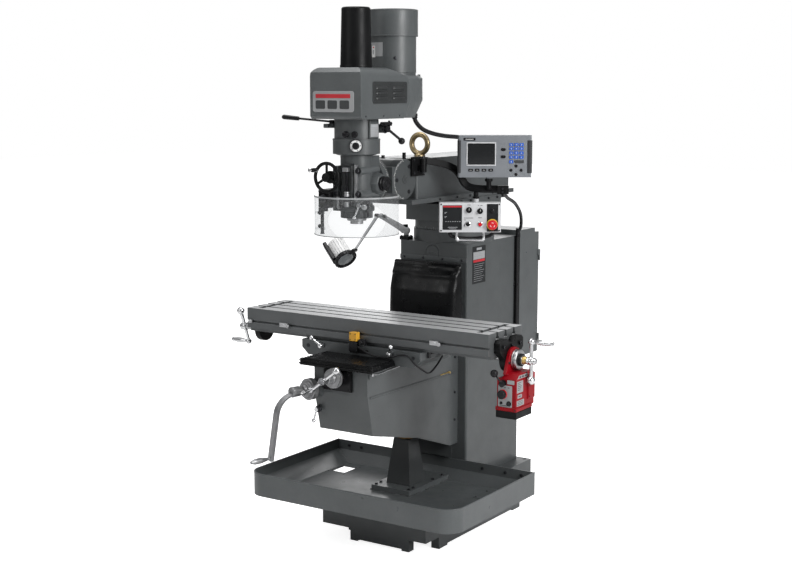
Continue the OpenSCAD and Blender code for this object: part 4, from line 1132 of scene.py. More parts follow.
    hub.lathe((WHEEL_X, -802, WHEEL_Z), -Y, [(0, 17), (10, 21), (16, 20), (19, 15), (19, 6), (21, 5),
                                             (21, 0)], 36)
    hub.done("feed_wheel_hub", "feed_wheel", "black")
    knob = Shape()
    knob.lathe((88, -702, 1630), Z, [(0, 5), (0, 5), (62, 5)], 20)
    knob.lathe((88, -702, 1690), Z, [(0, 10), (14, 10), (15, 8), (15, 0)], 24)
    knob.done("trip_rod", "head", "oxide", 0.3)
    trip = Shape()
    trip.lathe((70, -712, 1676), (0.72, -0.69, 0), [(0, 11), (16, 11), (17, 8), (30, 7), (38, 10), (44, 8),
                                                    (44, 0)], 28)
    trip.rod((-40, -728, 1672), (-46, -748, 1672), 10, n=28, soft=1)
    trip.rod((-46, -748, 1672), (-46, -748, 1708), 5, n=20, soft=1)
    trip.lathe((-46, -748, 1704), Z, [(0, 6), (4, 9), (14, 9), (18, 6), (18, 0)], 24)
    trip.done("trip_levers", "head", "steel", 0.3)
    rim = Shape()
    rim.lathe((0, SPINDLE_Y, 1622), Z, [(0, 60), (0, 73), (6, 73.6), (12, 73.6), (14, 72), (14, 60)], 64)
    rim.lathe((0, SPINDLE_Y, 1652), Z, [(0, 74), (0, 80), (3, 82), (20, 82), (24, 80), (24, 74)], 64)
    rim.done("head_lower_rim", "head", "casting", 0.8)
    step = Shape()
    step.lathe((0, SPINDLE_Y, 1908), Z, [(0, 86), (4, 96), (8, 104), (10, 104), (10, 60)], 64)
    step.lathe((0, SPINDLE_Y, 1976), Z, [(0, 109), (3, 109.6), (7, 108), (8, 101), (8, 60)], 72)
    step.done("head_neck_beads", "head", "casting", 0.6)
    lug = Shape()
    lug.box(-134, -106, -738, -672, 2030, 2049)
    lug.done("brake_lug", "head", "casting", 3)
    knobs = Shape()
    for z in (1585, 1646):
        knobs.rod((-124, -771, z), (-122, -783, z), 4, n=18)
        knobs.lathe((-122, -782, z), (0.15, -0.98, 0), [(0, 7), (2, 9), (8, 9), (10, 7), (10, 0)], 12)
    knobs.done("guard_knobs", "guard", "knob", 0.3)
    lug = Shape()
    lug.prism([(-140, -772), (-116, -772), (-108, -740), (-120, -732), (-140, -744)], (0, 0, 1650), X, Y, 17)
    lug.done("guard_post_lug", "head", "oxide", 1.5)
    trim = Shape()
    bend = [(195.2 * math.cos(math.radians(a)), SPINDLE_Y + 195.2 * math.sin(math.radians(a)))
            for a in range(212, 393, 4)]
    trim.sweep([(x, y, 1722) for x, y in bend], [(-2.6, -4), (1.4, -4), (1.4, 3), (-2.6, 3)])
    trim.sweep([(x, y, 1547) for x, y in bend], [(-2.2, -1), (1.0, -1), (1.0, 3), (-2.2, 3)])
    trim.done("guard_edge_trim", "guard", "clear_edge")


def lamp_details():
    """Work lamp: slotted housing, lens, arm tube and knobs."""
    aim = Vector((0.716, -0.246, -0.653)).normalized()
    side = Vector((0.694, 0.181, 0.697))
    side = (side - aim * side.dot(aim)).normalized()
    glass = Vector((-357.6, -256.4, 1360.2))
    place = Matrix(((*side, 0), (*aim.cross(side), 0), (*aim, 0), (0, 0, 0, 1))).transposed()
    place = Matrix.Translation(glass) @ place
    body = Shape(place)
    for k in range(20):
        a0, a1 = math.radians(18 * k + 1.1), math.radians(18 * k + 16.9)
        pts = arc(0, 0, 46, a0, a1, 4) + arc(0, 0, 41, a1, a0, 4)
        body.prism(pts, (0, 0, -112), X, Y, 96)
    body.lathe((0, 0, -121), Z, [(0, 0), (0, 34), (3, 40), (8, 43), (9, 43), (9, 20)], 48)
    o = body.done("lamp_housing", "lamp", "white", 0.8)
    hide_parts("lamp_head")
    core = Shape(place)
    core.lathe((0, 0, -113), Z, [(0, 30), (0, 43), (97, 43), (100, 44), (104, 50), (104, 30)], 48)
    core.done("lamp_core", "lamp", "print_mid", slot="lamp_white")
    black = Shape(place)
    pts = [(-62, -21), (-62, 21), (-57, 26), (-44, 26), (-42, 20), (-42, -20), (-44, -26), (-57, -26)]
    tilt = Matrix.Rotation(math.radians(-30), 4, "Z")
    black.place = place @ tilt
    black.prism(pts, (0, 0, -134), X, Y, 112)
    black.place = place
    black.lathe((0, 0, -19), Z, [(0, 44), (1, 50), (6, 56), (12, 58), (24, 58), (26, 56.5), (26, 50),
                                 (20, 49), (20, 40)], 60)
    for x, y in circle(0, 0, 58, 24):
        black.lathe((x, y, -6), Z, [(0, 2.8), (11, 2.8)], 8)
    nod = Vector((-0.252, 0.968, 0))
    inside = place.inverted()
    black.rod(inside @ (glass + side * 42 - nod * 18), inside @ (LAMP_WRIST - nod * 18), 5.5, n=20)
    black.rod(inside @ (LAMP_WRIST - nod * 24.4), inside @ (LAMP_WRIST - nod * 11.3), 9.8, n=28, soft=1)
    black.done("lamp_black_parts", "lamp", "knob", 0.5, slot="black_paint")
    label = Shape(place @ tilt)
    label.box(-62.6, -61.8, -5, 5, -110, -80)
    label.done("lamp_label", "lamp", "print_mid")
    lens = Shape(place)
    lens.lathe((0, 0, -6), Z, [(0, 0), (0, 51), (4, 51), (6.5, 46), (8.5, 30), (9.4, 0)], 48)
    lens.done("lamp_glass", "lamp", "lens")
    knob = Shape()
    knob.lathe((-184, 26, 1500), (-0.1, 0.05, 1), [(0, 9), (6, 12), (8, 15), (20, 15), (23, 12), (23, 0)], 12)
    knob.done("lamp_arm_knob", "lamp_lower", "knob", 1)
    pin = Shape()
    pin.rod((-262, -53.8, 1566), (-252, -55.4, 1566), 9, n=24, soft=1.5)
    pin.rod((-300, -48, 1566), (-320, -44.8, 1566), 11, n=24, soft=1.5)
    pin.done("lamp_elbow_knobs", "lamp_upper", "knob", 0.4)
    tube = Shape()
    elbow = Vector((-307, -46.8, 1566))
    tube.rod(elbow.lerp(LAMP_WRIST, 0.05), elbow.lerp(LAMP_WRIST, 0.95), 8.2, 6.6, 24, 1)
    tube.done("lamp_arm_tube", "lamp_upper", "arm_grey")
    grip = Shape()
    along = nod.normalized()
    grip.rod(LAMP_WRIST - along * 10.9, LAMP_WRIST + along * 15, 10.4, n=28, soft=1.5)
    grip.rod(LAMP_WRIST + along * 14, LAMP_WRIST + along * 24, 7, n=12, soft=1)
    grip.done("lamp_wrist_knob", "lamp_upper", "knob", 0.4)
    wire = Shape()
    wire.hose([(-196, 20, 1478), (-214, 2, 1500), (-240, -30, 1540), (-262, -46, 1551)], 3, 8, 10)
    wire.done("lamp_wire", "lamp_lower", "cable")
    foot = Shape()
    for x, y in ((-198, 12), (-162, 12), (-162, 44), (-198, 44)):
        foot.screw((x, y, 1464), Z, 4.5, 4)
    foot.done("lamp_base_screws", "stand", "oxide")


# ---------------------------------------------------------------- cables

def chain(name, pts, r, bodies):
    """Cable across several joints, cut into one piece for each pair of neighbouring bodies; the pieces ride on
    no body.
    """
    curve = spline(pts, 14)
    parts = len(bodies) - 1
    n = len(curve) - 1
    cuts = [round(n * k / parts) for k in range(parts + 1)]
    for k in range(parts):
        piece = Shape()
        run = curve[cuts[k]:cuts[k + 1] + 1]
        piece.sweep(run, circle(0, 0, r, 18))
        o = piece.done(f"{name}_{k + 1}", None, "cable", angle=60)
        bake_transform(o)


def cables():
    """Cables that cross joints, and the conduit down the column."""
    chain("head_cable", [(78, -300, 2082), (80, -288, 2052), (88, -245, 2018), (100, -180, 1996),
                         (118, -95, 1981),
                         (142, 5, 1972), (160, 90, 1962), (150, 165, 1930), (110, 215, 1895),
                         (92, 225, 1868)],
          10.5, ["head", "adapter", "ram"])
    gland = Shape()
    gland.lathe((77.6, -301, 2087), (0.03, 0.35, -1),
                [(0, 17), (8, 17), (9, 14), (18, 14), (20, 12), (20, 0)], 24)
    gland.done("head_cable_gland", "head", "knob", 0.4)
    gland = Shape()
    gland.lathe((92, 225, 1878), Z, [(0, 18), (6, 18), (7, 15), (18, 14), (20, 12), (20, 0)], 24)
    gland.done("ram_cable_gland", "ram", "knob", 0.4)
    chain("arm_cable", [(450, -92, 1722), (436, -70, 1704), (418, -10, 1696), (368, 100, 1676),
                        (322, 260, 1636),
                        (272, 410, 1570), (234, 488, 1500), (213, 497, 1466)], 8.4,
          ["arm", "ram", "turret", "stand"])
    sleeve = Shape()
    sleeve.lathe((212, 497, 1440), Z, [(0, 13), (18, 13), (20, 11.5), (42, 11.5), (46, 9), (46, 4)], 24)
    sleeve.done("conduit_sleeve", "stand", "knob", 0.5)
    conduit = Shape()
    prof = []
    for k in range(190):
        prof += [(3.0 * k, 6.9), (3.0 * k + 1.5, 7.9)]
    conduit.lathe((CONDUIT_X, CONDUIT_Y, 880), Z, prof, 22)
    o = conduit.done("column_conduit_hose", "stand", "cable", angle=80)
    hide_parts("column_conduit")
    clips = Shape()
    for z in (930, 1180):
        clips.box(199.5, 202, 476, 518, z, z + 18)
        clips.lathe((CONDUIT_X, CONDUIT_Y, z + 3), Z, [(0, 8), (0, 9.6), (12, 9.6), (12, 8)], 28)
        clips.screw((202, 481, z + 9), X, 3.6, 2.4, "pan")
        clips.screw((202, 513, z + 9), X, 3.6, 2.4, "pan")
    clips.done("conduit_clips", "stand", "knob", 0.2)
    bend = Shape()
    bend.lathe((CONDUIT_X, CONDUIT_Y, 868), Z, [(0, 11), (10, 11), (12, 9), (16, 9)], 24)
    bend.lathe((199, 497, 862), X, [(0, 17), (13, 15), (20, 13), (26, 10), (26, 0)], 24)
    bend.done("conduit_entry", "stand", "knob", 0.8)


cover_details()
head_details()
lamp_details()
cables()


# ---------------------------------------------------------------- soft covers

def lerp_table(table, t):
    """Value at t between the pairs of a table, eased at each pair."""
    for (a, va), (b, vb) in zip(table, table[1:]):
        if t <= b:
            k = (t - a) / (b - a)
            k = k * k * (3 - 2 * k)
            return va + (vb - va) * k
    return table[-1][1]


def sheet(rows, thick):
    """A soft sheet from rows of points, with its thickness laid on the back."""
    bm = bmesh.new()
    grid = [[bm.verts.new(p) for p in r] for r in rows]
    for a, b in zip(grid, grid[1:]):
        for k in range(len(a) - 1):
            bm.faces.new((a[k], a[k + 1], b[k + 1], b[k]))
    bm.normal_update()
    bmesh.ops.recalc_face_normals(bm, faces=bm.faces)
    bmesh.ops.solidify(bm, geom=bm.faces[:], thickness=thick)
    return bm


def column_apron():
    """Rubber apron in front of the column's ways: it bellies out and gathers under its strip."""
    depth = [(0.0, 66), (0.12, 98), (0.35, 118), (0.62, 112), (0.84, 90), (0.95, 62), (1.0, 40)]
    rows = []
    for j in range(91):
        t = j / 90
        z = 951 + 399 * t
        bulge = lerp_table(depth, t)
        gather = max(0.0, (t - 0.8) / 0.2)
        slack = max(0.0, 1 - t / 0.16)
        row = []
        for i in range(73):
            u = -1 + 2 * i / 72
            x = -8 + 195 * u * (1 + 0.025 * math.sin(math.pi * t))
            corner = (1 - abs(u) ** 9) ** 0.42 if abs(u) < 1 else 0.0
            crease = math.exp(-((t - 0.865 - 0.05 * u) / 0.022) ** 2) * (0.4 + 0.6 * u * u)
            fold = 2.2 * gather * math.sin(8 * u + 2.0 * math.sin(3 * u)) * math.sin(math.pi * gather)
            fold -= 5.0 * crease
            fold += 2.6 * slack * math.sin(70 * t + 2.2 * u)
            fold += 2.4 * noise.noise(Vector((u * 1.1, t * 1.5, 0.4)))
            fold += 0.35 * noise.noise(Vector((u * 5.0, t * 2.4, 2.1)))
            y = -41.5 - (bulge - 41.5 + fold) * corner if bulge > 41.5 else -41.5 - fold * corner * 0.4
            row.append((x, min(-41.2, y), z - 1.6 * gather * abs(u) ** 6))
        rows.append(row)
    shape = Shape()
    shape.bm.free()
    shape.bm = sheet(rows, -2.2)
    o = shape.done("column_apron_rubber", None, "rubber", angle=75)
    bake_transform(o)
    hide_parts("column_way_cover")
    hem = Shape()
    hem.box(-196, 186, -46, -40.6, 1343, 1352)
    for k in range(6):
        hem.screw((-185 + 72 * k, -46, 1347.5), -Y, 4.4, 2.4, "pan")
    hem.done("column_apron_hem", "stand", "knob", 0.6, slot="rubber_cover")
    bar = Shape()
    bar.box(-150, 140, -75, -42, 947, 951.5)
    bar.done("knee_apron_bar", "knee", "black", 0.8)


def front_pleats():
    """Pleated cover over the knee's front ways, with its lips and side leaves."""
    n = 9
    rows = []
    for k in range(2 * n + 1):
        y = -838 + 187 * k / (2 * n)
        up = k % 2 == 0
        z = (974.5 if up else 969.5) + (0.6 if k == 0 else 0)
        for dy, dz in (((-0.8, -0.9), (0.8, -0.9)) if up else ((-0.8, 0.9), (0.8, 0.9))):
            row = []
            for i in range(61):
                u = -1 + 2 * i / 60
                x = 204 * u
                drop = 27 * max(0.0, (abs(u) - 0.935) / 0.065) ** 1.4
                sag = 0.7 * noise.noise(Vector((u * 1.6, y * 0.01, 0.3)))
                row.append((x, y + dy + 0.5 * noise.noise(Vector((u * 1.5, k * 0.7, 1))),
                            z + dz - drop + sag - 1.2 * (1 - u * u)))
            rows.append(row)
    shape = Shape()
    shape.bm.free()
    shape.bm = sheet(rows, 1.6)
    o = shape.done("front_pleated_cover", None, "rubber", angle=25)
    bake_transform(o)
    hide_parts("front_way_cover")
    for k, (dy, z0, z1, dx) in enumerate(((0, 966, 970.5, 0), (-3.5, 960, 964.5, 2), (-1.5, 953.5, 958.5, -2),
                                          (-5, 946, 951.5, 3), (-2, 939.5, 944, 0))):
        lip = Shape()
        pts = [(-204 - dx + (408 + 2 * dx) * i / 40,
                -841 + dy + 1.2 * noise.noise(Vector((i * 0.35, k * 2.0, 0)))) for i in range(41)]
        lip.prism(pts + [(200, -826), (-200, -826)], (0, 0, z0), X, Y, z1 - z0)
        lip.done(f"front_cover_lip_{k + 1}", "knee", "rubber", 0.7)
    for s in (-1, 1):
        for k in range(4):
            leaf = Shape()
            leaf.box(min(s * 192, s * (203 - k)), max(s * 192, s * (203 - k)), -838 + 3 * k, -753 - 6 * k,
                     942 + 6.4 * k, 946 + 6.4 * k)
            leaf.done(f"front_cover_leaf_{'r' if s > 0 else 'l'}{k + 1}", "knee", "rubber", 0.7)


# ---------------------------------------------------------------- stand, knee, saddle and table

def stand_details():
    """Plates, plugs and screws of the column, the door and the chip pan."""
    # Black strip behind the conduit: painted shade for the gap between column and cabinet, not a part.
    dark = Shape()
    dark.box(199, 201.4, 478, 540.5, 866, 1445)
    dark.done("column_gap_painted_shade", "stand", "black", 0.4)
    plate = Shape()
    plate.box(199.8, 200.9, 48, 178, 1240, 1428)
    plate.done("column_plate", "stand", "panel_black", 0.3)
    top = Shape()
    top.box(200.8, 201.3, 56, 170, 1362, 1400)
    top.done("column_plate_white", "stand", "plate_grey")
    red = Shape()
    red.box(200.8, 201.4, 56, 170, 1348, 1360)
    red.done("column_plate_red", "stand", "print_red")
    lines = Shape()
    lines.box(200.8, 201.2, 88, 138, 1408, 1420)
    for k in range(9):
        z = 1336 - 10.5 * k
        lines.box(200.8, 201.2, 62, 164 - 12 * (k % 3), z, z + 1.6)
    for k in range(3):
        lines.box(201.2, 201.5, 60, 160 - 14 * k, 1390 - 9 * k, 1393 - 9 * k)
    lines.done("column_plate_lines", "stand", "print_mid", slot="panel_silver")
    arch = Shape()
    arch.ring((-5, -0.2, 1392), Y, 38, 1.7, 72, 8)
    arch.done("column_core_plug_groove", "stand", "print_dark")
    plug = Shape()
    plug.lathe((-5, 0.6, 1392), -Y, [(0, 36.5), (1.4, 36.5), (2.6, 35), (2.6, 0)], 60)
    for k in range(3):
        plug.lathe((-20 + 15 * k, -1.6, 1388), -Y, [(0, 4.2), (3, 4.0), (3.8, 3), (3.8, 0)], 18)
    plug.done("column_core_plug", "stand", "casting")
    strip = Shape()
    for x in (-170, -57, 57, 170):
        strip.screw((x, -4.4, 1363.5), -Y, 6, 3.4, "pan")
    strip.done("way_cover_screws", "stand", "oxide")
    hatch = Shape()
    hatch.prism([(-a, b) for a, b in rounded(120, 430, 560, 900, 16)][::-1], (-199.4, 0, 0), -Y, Z, 3.0)
    for y in (138, 412):
        for z in (578, 882):
            hatch.screw((-202.4, y, z), -X, 5, 3, "pan")
    hatch.done("column_hatch_left", "stand", "sheet", 0.8)
    door = Shape()
    for z in (860, 900, 940):
        for k in range(5):
            door.box(-90 + 40 * k, -60 + 40 * k, 753.5, 758, z, z + 8)
    door.done("door_louvres", "door", "sheet", 1.5)
    latch = Shape()
    latch.lathe((-170, 764, 1120), Y, [(0, 16), (5, 16), (6, 14), (6, 0)], 30)
    latch.box(-174, -166, 769, 784, 1092, 1130)
    latch.done("door_latch", "door", "knob", 1)
    pan = Shape()
    for x in (-520, -440, 300, 430, 520):
        pan.screw((x, -7, 322), -Y, 7, 6, "hex")
    pan.done("pan_rear_bolts", "stand", "oxide", 0.4)
    weld = Shape()
    rim = [(-117, -391), (117, -391), (117, -24)]
    for (xa, ya), (xb, yb) in zip(rim, rim[1:]):
        n = 40
        for k in range(n):
            t = (k + 0.5) / n
            x, y = xa + (xb - xa) * t, ya + (yb - ya) * t
            if (k // 5) % 3 != 2:
                weld.ball((x, y, 244 + noise.noise(Vector((x * 0.1, y * 0.1, 0)))),
                          4.6 + noise.noise(Vector((x, y, 3))), 5)
    # The weld beads wear the shaded copy of the casting grey: painted shade.
    weld.done("pan_weld_beads", "stand", "shaded_casting")
    bolts = Shape()
    for x in (-96, 96):
        for y in (-370, -330, -150, -60):
            bolts.screw((x, y, 268), Z, 7, 7, "hex")
    bolts.done("pedestal_bolts", "stand", "oxide", 0.4)
    screws = Shape()
    for x, y in ((387, -222), (473, -222), (387, -113), (473, -113)):
        screws.screw((x, y, 246), Z, 5, 3, "pan")
    screws.done("drain_cover_screws", "stand", "oxide")
    lip = Shape()
    corner = [math.radians(11.25 * k) for k in range(1, 8)]
    pts = [(-593, -2), (-593, -682)] + [(-503 - 90 * math.cos(a), -682 - 90 * math.sin(a)) for a in corner]
    pts += [(-503, -772), (503, -772)] + [(503 + 90 * math.sin(a), -682 - 90 * math.cos(a)) for a in corner]
    pts += [(593, -682), (593, -2)]
    lip.sweep([(x, y, 346) for x, y in pts], [(-5.2, -5), (0.9, -5), (1.4, 0), (0.4, 3.4), (-2.2, 4.4),
                                              (-4.8, 3.4), (-5.8, 0)])
    lip.done("pan_rim_bead", "stand", "sheet", angle=50)


def knee_details():
    """Dials, fixings, ledge and oil lines of the knee."""
    plate = Shape()
    plate.box(-84, 64, -813.4, -812, 836, 924)
    for x in (-78, 58):
        for z in (842, 918):
            plate.screw((x, -812, z), -Y, 5.5, 4.5)
    plate.done("bearing_plate_screws", "knee", "knob", 0.4, slot="black_oxide")
    dial = Shape()
    tick_ring(dial, (0, -866, CROSS_Z), -Y, 45.2, 100, 0, 356.4, 8, 4.5, 5, 0.5, along=1)
    dial.done("cross_dial_marks", "cross_feed", "print_dark")
    ring = Shape()
    prof = [(0, 40), (0, 46.5), (1.5, 47), (5, 47), (6, 45.6), (6, 40)]
    ring.lathe((0, -848, CROSS_Z), -Y, prof, 64)
    ring.lathe((0, -866, CROSS_Z), -Y, [(-0.5, 30), (-0.5, 43), (1.5, 42), (2.5, 36), (2.5, 24), (8, 22),
                                        (12, 20), (12, 16)], 64)
    for x, z in circle(0, CROSS_Z, 22.5, 24):
        ring.lathe((x, -867, z), -Y, [(0, 1.8), (8, 1.8)], 6)
    ring.done("cross_dial_rings", "cross_feed", "crank_steel", 0.2)
    shaft = Vector((-151, -600, 0)).normalized()
    base = Vector((0, -250, 829))
    crank = Shape()
    crank.lathe(base + shaft * 594, shaft, [(-1, 42), (-1, 50.5), (3, 51), (6, 50.5), (7, 49), (20, 49),
                                            (21, 50.5), (27, 51), (29, 49.5), (29, 38), (36, 36.5), (44, 36),
                                            (48, 34), (48, 26), (60, 24), (60, 14)], 64)
    crank.done("knee_dial_body", "crank", "crank_steel", 0.3)
    marks = Shape()
    tick_ring(marks, base + shaft * 602, shaft, 49.2, 80, 0, 355.5, 9, 5, 5, 0.5, along=1)
    marks.done("knee_dial_marks", "crank", "print_dark")
    knurl = Shape()
    for k in range(36):
        a = 2 * math.pi * k / 36
        u = shaft.orthogonal().normalized()
        v = shaft.cross(u)
        c = base + shaft * 624 + (u * math.cos(a) + v * math.sin(a)) * 36
        knurl.lathe(c, shaft, [(0, 1.6), (14, 1.6)], 6)
    knurl.done("knee_dial_knurl", "crank", "crank_steel")
    end = Shape()
    end.lathe(base + shaft * 700, shaft, [(0, 25), (12, 25), (16, 22), (18, 18), (18, 12), (16, 11),
                                          (16, 0)], 40)
    end.done("knee_crank_hub_end", "crank", "crank_steel", 0.5)
    for s, name in ((1, "right"), (-1, "left")):
        gib = Shape()
        for y in (-760, -640, -300, -180):
            gib.screw((s * 150, y, 928), X * s, 5.5, 4)
        for z in (880, 700, 560):
            gib.screw((s * 150, -34, z), X * s, 6.5, 5)
        gib.done("knee_gib_screws_" + name, "knee", "oxide", 0.3)
    lock = Shape()
    lock.lathe((-133, -790, 728), -Y, [(-2, 16), (2, 17), (6, 17), (8, 15), (8, 6)], 32)
    lock.done("knee_lock_seat", "knee", "oxide", 0.4)
    ball = Shape()
    ball.ball((-146, -815, 674), 10, 12)
    ball.done("knee_lock_ball", "knee_lock", "chrome")
    rail = Shape()
    rail.prism([(-790, 930), (-560, 930), (-560, 912), (-600, 905), (-790, 900)], (150, 0, 0), Y, Z, 6)
    rail.done("knee_side_pad", "knee", "casting", 1.5)
    ledge = Shape()
    for s in (-1, 1):
        ledge.sweep([(s * 150, -46, 806), (s * 150, -780, 812)],
                    [(-3, -3.4), (3, -3.4), (3.4, 0), (2.4, 3.4), (-3, 3.4)])
    ledge.done("knee_ledge", "knee", "casting", angle=60)
    groove = Shape()
    for s in (-1, 1):
        groove.sweep([(s * 150.2, -46, 800.6), (s * 150.2, -780, 806.6)],
                     [(-1, -1.7), (1, -1.7), (1, 1.7), (-1, 1.7)])
    groove.done("knee_ledge_shadow", "knee", "print_dark", slot="machine_grey")
    lines = Shape()
    lines.hose([(155, -760, 918), (158, -720, 914), (158, -640, 918), (158, -560, 921), (154, -530, 922)],
               2.6, 8, 10)
    lines.rod((150, -772, 918), (162, -772, 918), 7, n=6)
    lines.rod((150, -520, 922), (162, -520, 922), 7, n=6)
    lines.done("knee_oil_line", "knee", "steel")
    oil = Shape()
    oil.rod((152, -170, 812), (152, -92, 812), 3, n=12)
    oil.rod((150, -92, 812), (160, -92, 812), 6, n=6)
    oil.done("knee_rear_oil_line", "knee", "brass")


def saddle_details():
    """Limit switch, locks, wipers and screws of the saddle."""
    amber = Shape()
    amber.box(-44.6, -3.4, -668.6, -639, 1040.4, 1081.6)
    amber.done("limit_switch_cover", "saddle", "amber", 2)
    screws = Shape()
    for z in (1048, 1074):
        for x in (-38, -10):
            screws.screw((x, -668.6, z), -Y, 2.8, 1.6, "pan")
    screws.done("limit_switch_screws", "saddle", "oxide")
    body = Shape()
    body.box(-46, -2, -671, -646, 992, 1036)
    body.box(6, 40, -664, -646, 1026, 1052)
    body.lathe((22, -664, 1038), -Y, [(0, 8), (6, 8), (7, 6), (7, 0)], 20)
    body.done("limit_switch_body", "saddle", "knob", 2, slot="black_paint")
    wire = Shape()
    wire.hose([(-12, -660, 996), (2, -664, 1014), (24, -666, LEAD_Z), (79, -664, 986), (168, -662, 982),
               (235, -662, 1000),
               (280, -664, 1001), (318, -668, 972), (350, -640, 938), (352, -590, 920), (352, -530, 944),
               (346, -470, 978)],
              4.6, 10, 12)
    wire.done("limit_switch_cable", "saddle", "cable")
    for x, (tx, ty, tz), name, body in ((-213, (-245, -693, 1039), "left", "lock_left"),
                                        (177, (205, -692, 1040), "right", "lock_right")):
        seat = Shape()
        seat.lathe((x, SADDLE_FRONT, 1000), -Y, [(-0.5, 15), (-0.3, 15), (0.2, 14)], 28)
        seat.done("saddle_lock_seat_" + name, "saddle", "oxide")
        lever = Shape()
        lever.ball((tx, ty, tz), 11.2, 12)
        lever.lathe((x, -648.6, 1000), -Y, [(0.4, 11), (2, 12.4), (10, 12.8), (22, 12), (27, 9), (28.5, 4),
                                            (28.5, 0)], 32)
        a, b = Vector((x, -666, 1000)), Vector((tx, ty, tz))
        lever.rod(a, b, 5.6, 4.6, 20)
        lever.done("saddle_lock_lever_" + name, body, "chrome")
    wiper = Shape()
    for s in (-1, 1):
        x0, x1 = sorted((s * 337, s * 343))
        wiper.box(x0, x1, -556, -408, 1000, 1017)
        wiper.box(x0, x1, -586, -566, 985, 1040)
        wiper.box(x0, x1, -398, -378, 985, 1040)
    wiper.done("saddle_wipers", "saddle", "knob", 0.8, slot="black_paint")
    gib = Shape()
    for x in (-120, 60, 120):
        gib.screw((x, SADDLE_FRONT, 962), -Y, 5, 3.5)
    for x in (-300, 300):
        gib.lathe((x, SADDLE_FRONT, 990), -Y, [(0, 9), (2, 9), (2.5, 7), (2.5, 0)], 24)
    gib.done("saddle_front_screws", "saddle", "oxide", 0.3)


def table_details():
    """Brackets, dials, cranks and stops of the table."""
    for s, name in ((1, "right"), (-1, "left")):
        bolts = Shape()
        for y in (-557, -407):
            bolts.screw((s * 718, y, 1070), X * s, 9, 8)
        bolts.lathe((s * 718, LEAD_Y, 1070), X * s, [(0, 5), (2, 6), (8, 6), (9, 4), (9, 0)], 20)
        bolts.done("table_bracket_bolts_" + name, "table", "oxide", 0.3)
    boss = Shape()
    boss.prism([(-a, b) for a, b in circle(LEAD_Y, LEAD_Z, 56, 24)], (-717.8, 0, 0), -Y, Z, 2.5)
    boss.done("table_bracket_boss_left", "table", "black", 0.5)
    dial = Shape()
    dial.lathe((738, LEAD_Y, LEAD_Z), X, [(-0.4, 40), (-0.4, 45.4), (2, 46), (5, 46), (6, 45.2), (21, 45.2),
                                          (24.6, 42), (25, 20)], 64)
    dial.done("leadscrew_dial_body", "leadscrew", "steel_x", 0.2)
    marks = Shape()
    tick_ring(marks, (746, LEAD_Y, LEAD_Z), X, 45.5, 100, 0, 356.4, 9, 5, 5, 0.5, along=1)
    tick_ring(marks, (-741, LEAD_Y, LEAD_Z), X, 30.3, 50, 0, 352.8, 6, 4, 5, 0.5, along=1)
    marks.done("leadscrew_dial_marks", "leadscrew", "print_dark")
    nut = Shape()
    nut.lathe((763, LEAD_Y, LEAD_Z), X, [(0, 22), (0, 26), (2, 27), (12, 27), (14, 25), (14, 14)], 40)
    for y, z in circle(LEAD_Y, LEAD_Z, 27, 32):
        nut.lathe((765, y, z), X, [(0, 1.4), (10, 1.4)], 6)
    nut.done("leadscrew_clamp_nut", "leadscrew", "knob", slot="black_oxide")
    brass = Shape()
    brass.lathe((777, LEAD_Y, LEAD_Z), X, [(0, 14), (0, 18), (1, 19), (9, 19), (10, 17), (20, 16),
                                           (21, 14)], 40)
    brass.done("leadscrew_spacer", "leadscrew", "brass", 0.3)
    for x, up, s, name in ((817, (0, 0, 1), 1, "right"),
                           (-831, (0, math.sin(math.radians(160)), math.cos(math.radians(160))), -1, "left")):
        c, u = Vector((x, LEAD_Y, LEAD_Z)), Vector(up) * 88
        arm = Shape()
        arm.rod(c - u * 0.9, c + u * 0.9, 9.5, 7.5, 28)
        arm.ball(c - u, 19.6, 14)
        arm.ball(c + u, 14.6, 12)
        arm.ball(c, 20, 14)
        arm.lathe(c - X * s * 18, X * s, [(0, 17), (1, 19), (6, 19), (8, 17)], 32)
        arm.lathe(c + X * s * 16, X * s, [(0, 14), (6, 13), (7, 11), (10, 11), (11, 8), (11, 0)], 32)
        arm.lathe(c + u + X * s * 12, X * s, [(0, 7), (4, 10), (7, 8), (14, 9.5), (36, 13.5), (60, 13),
                                              (84, 9.5), (94, 9.8), (99, 7), (101, 0)], 36)
        arm.done("table_crank_" + name, "leadscrew", "chrome")
    stops = Shape()
    for x in (-455, 405):
        stops.lathe((x + 4, -646.4, 1072), -Y, [(0, 7), (3, 7), (3, 4), (1.6, 3.6), (1.6, 0)], 24)
        stops.box(x - 20, x + 23, -647.5, -634.8, 1062, 1082)
    stops.done("table_stop_bodies", "table", "steel", 1.6)
    far = Shape()
    far.box(-672, -652, -645, -634.8, 1064, 1080)
    far.lathe((-662, -645, 1072), -Y, [(0, 6), (4, 6), (4, 0)], 20)
    far.done("table_end_stop", "table", "steel", 1)


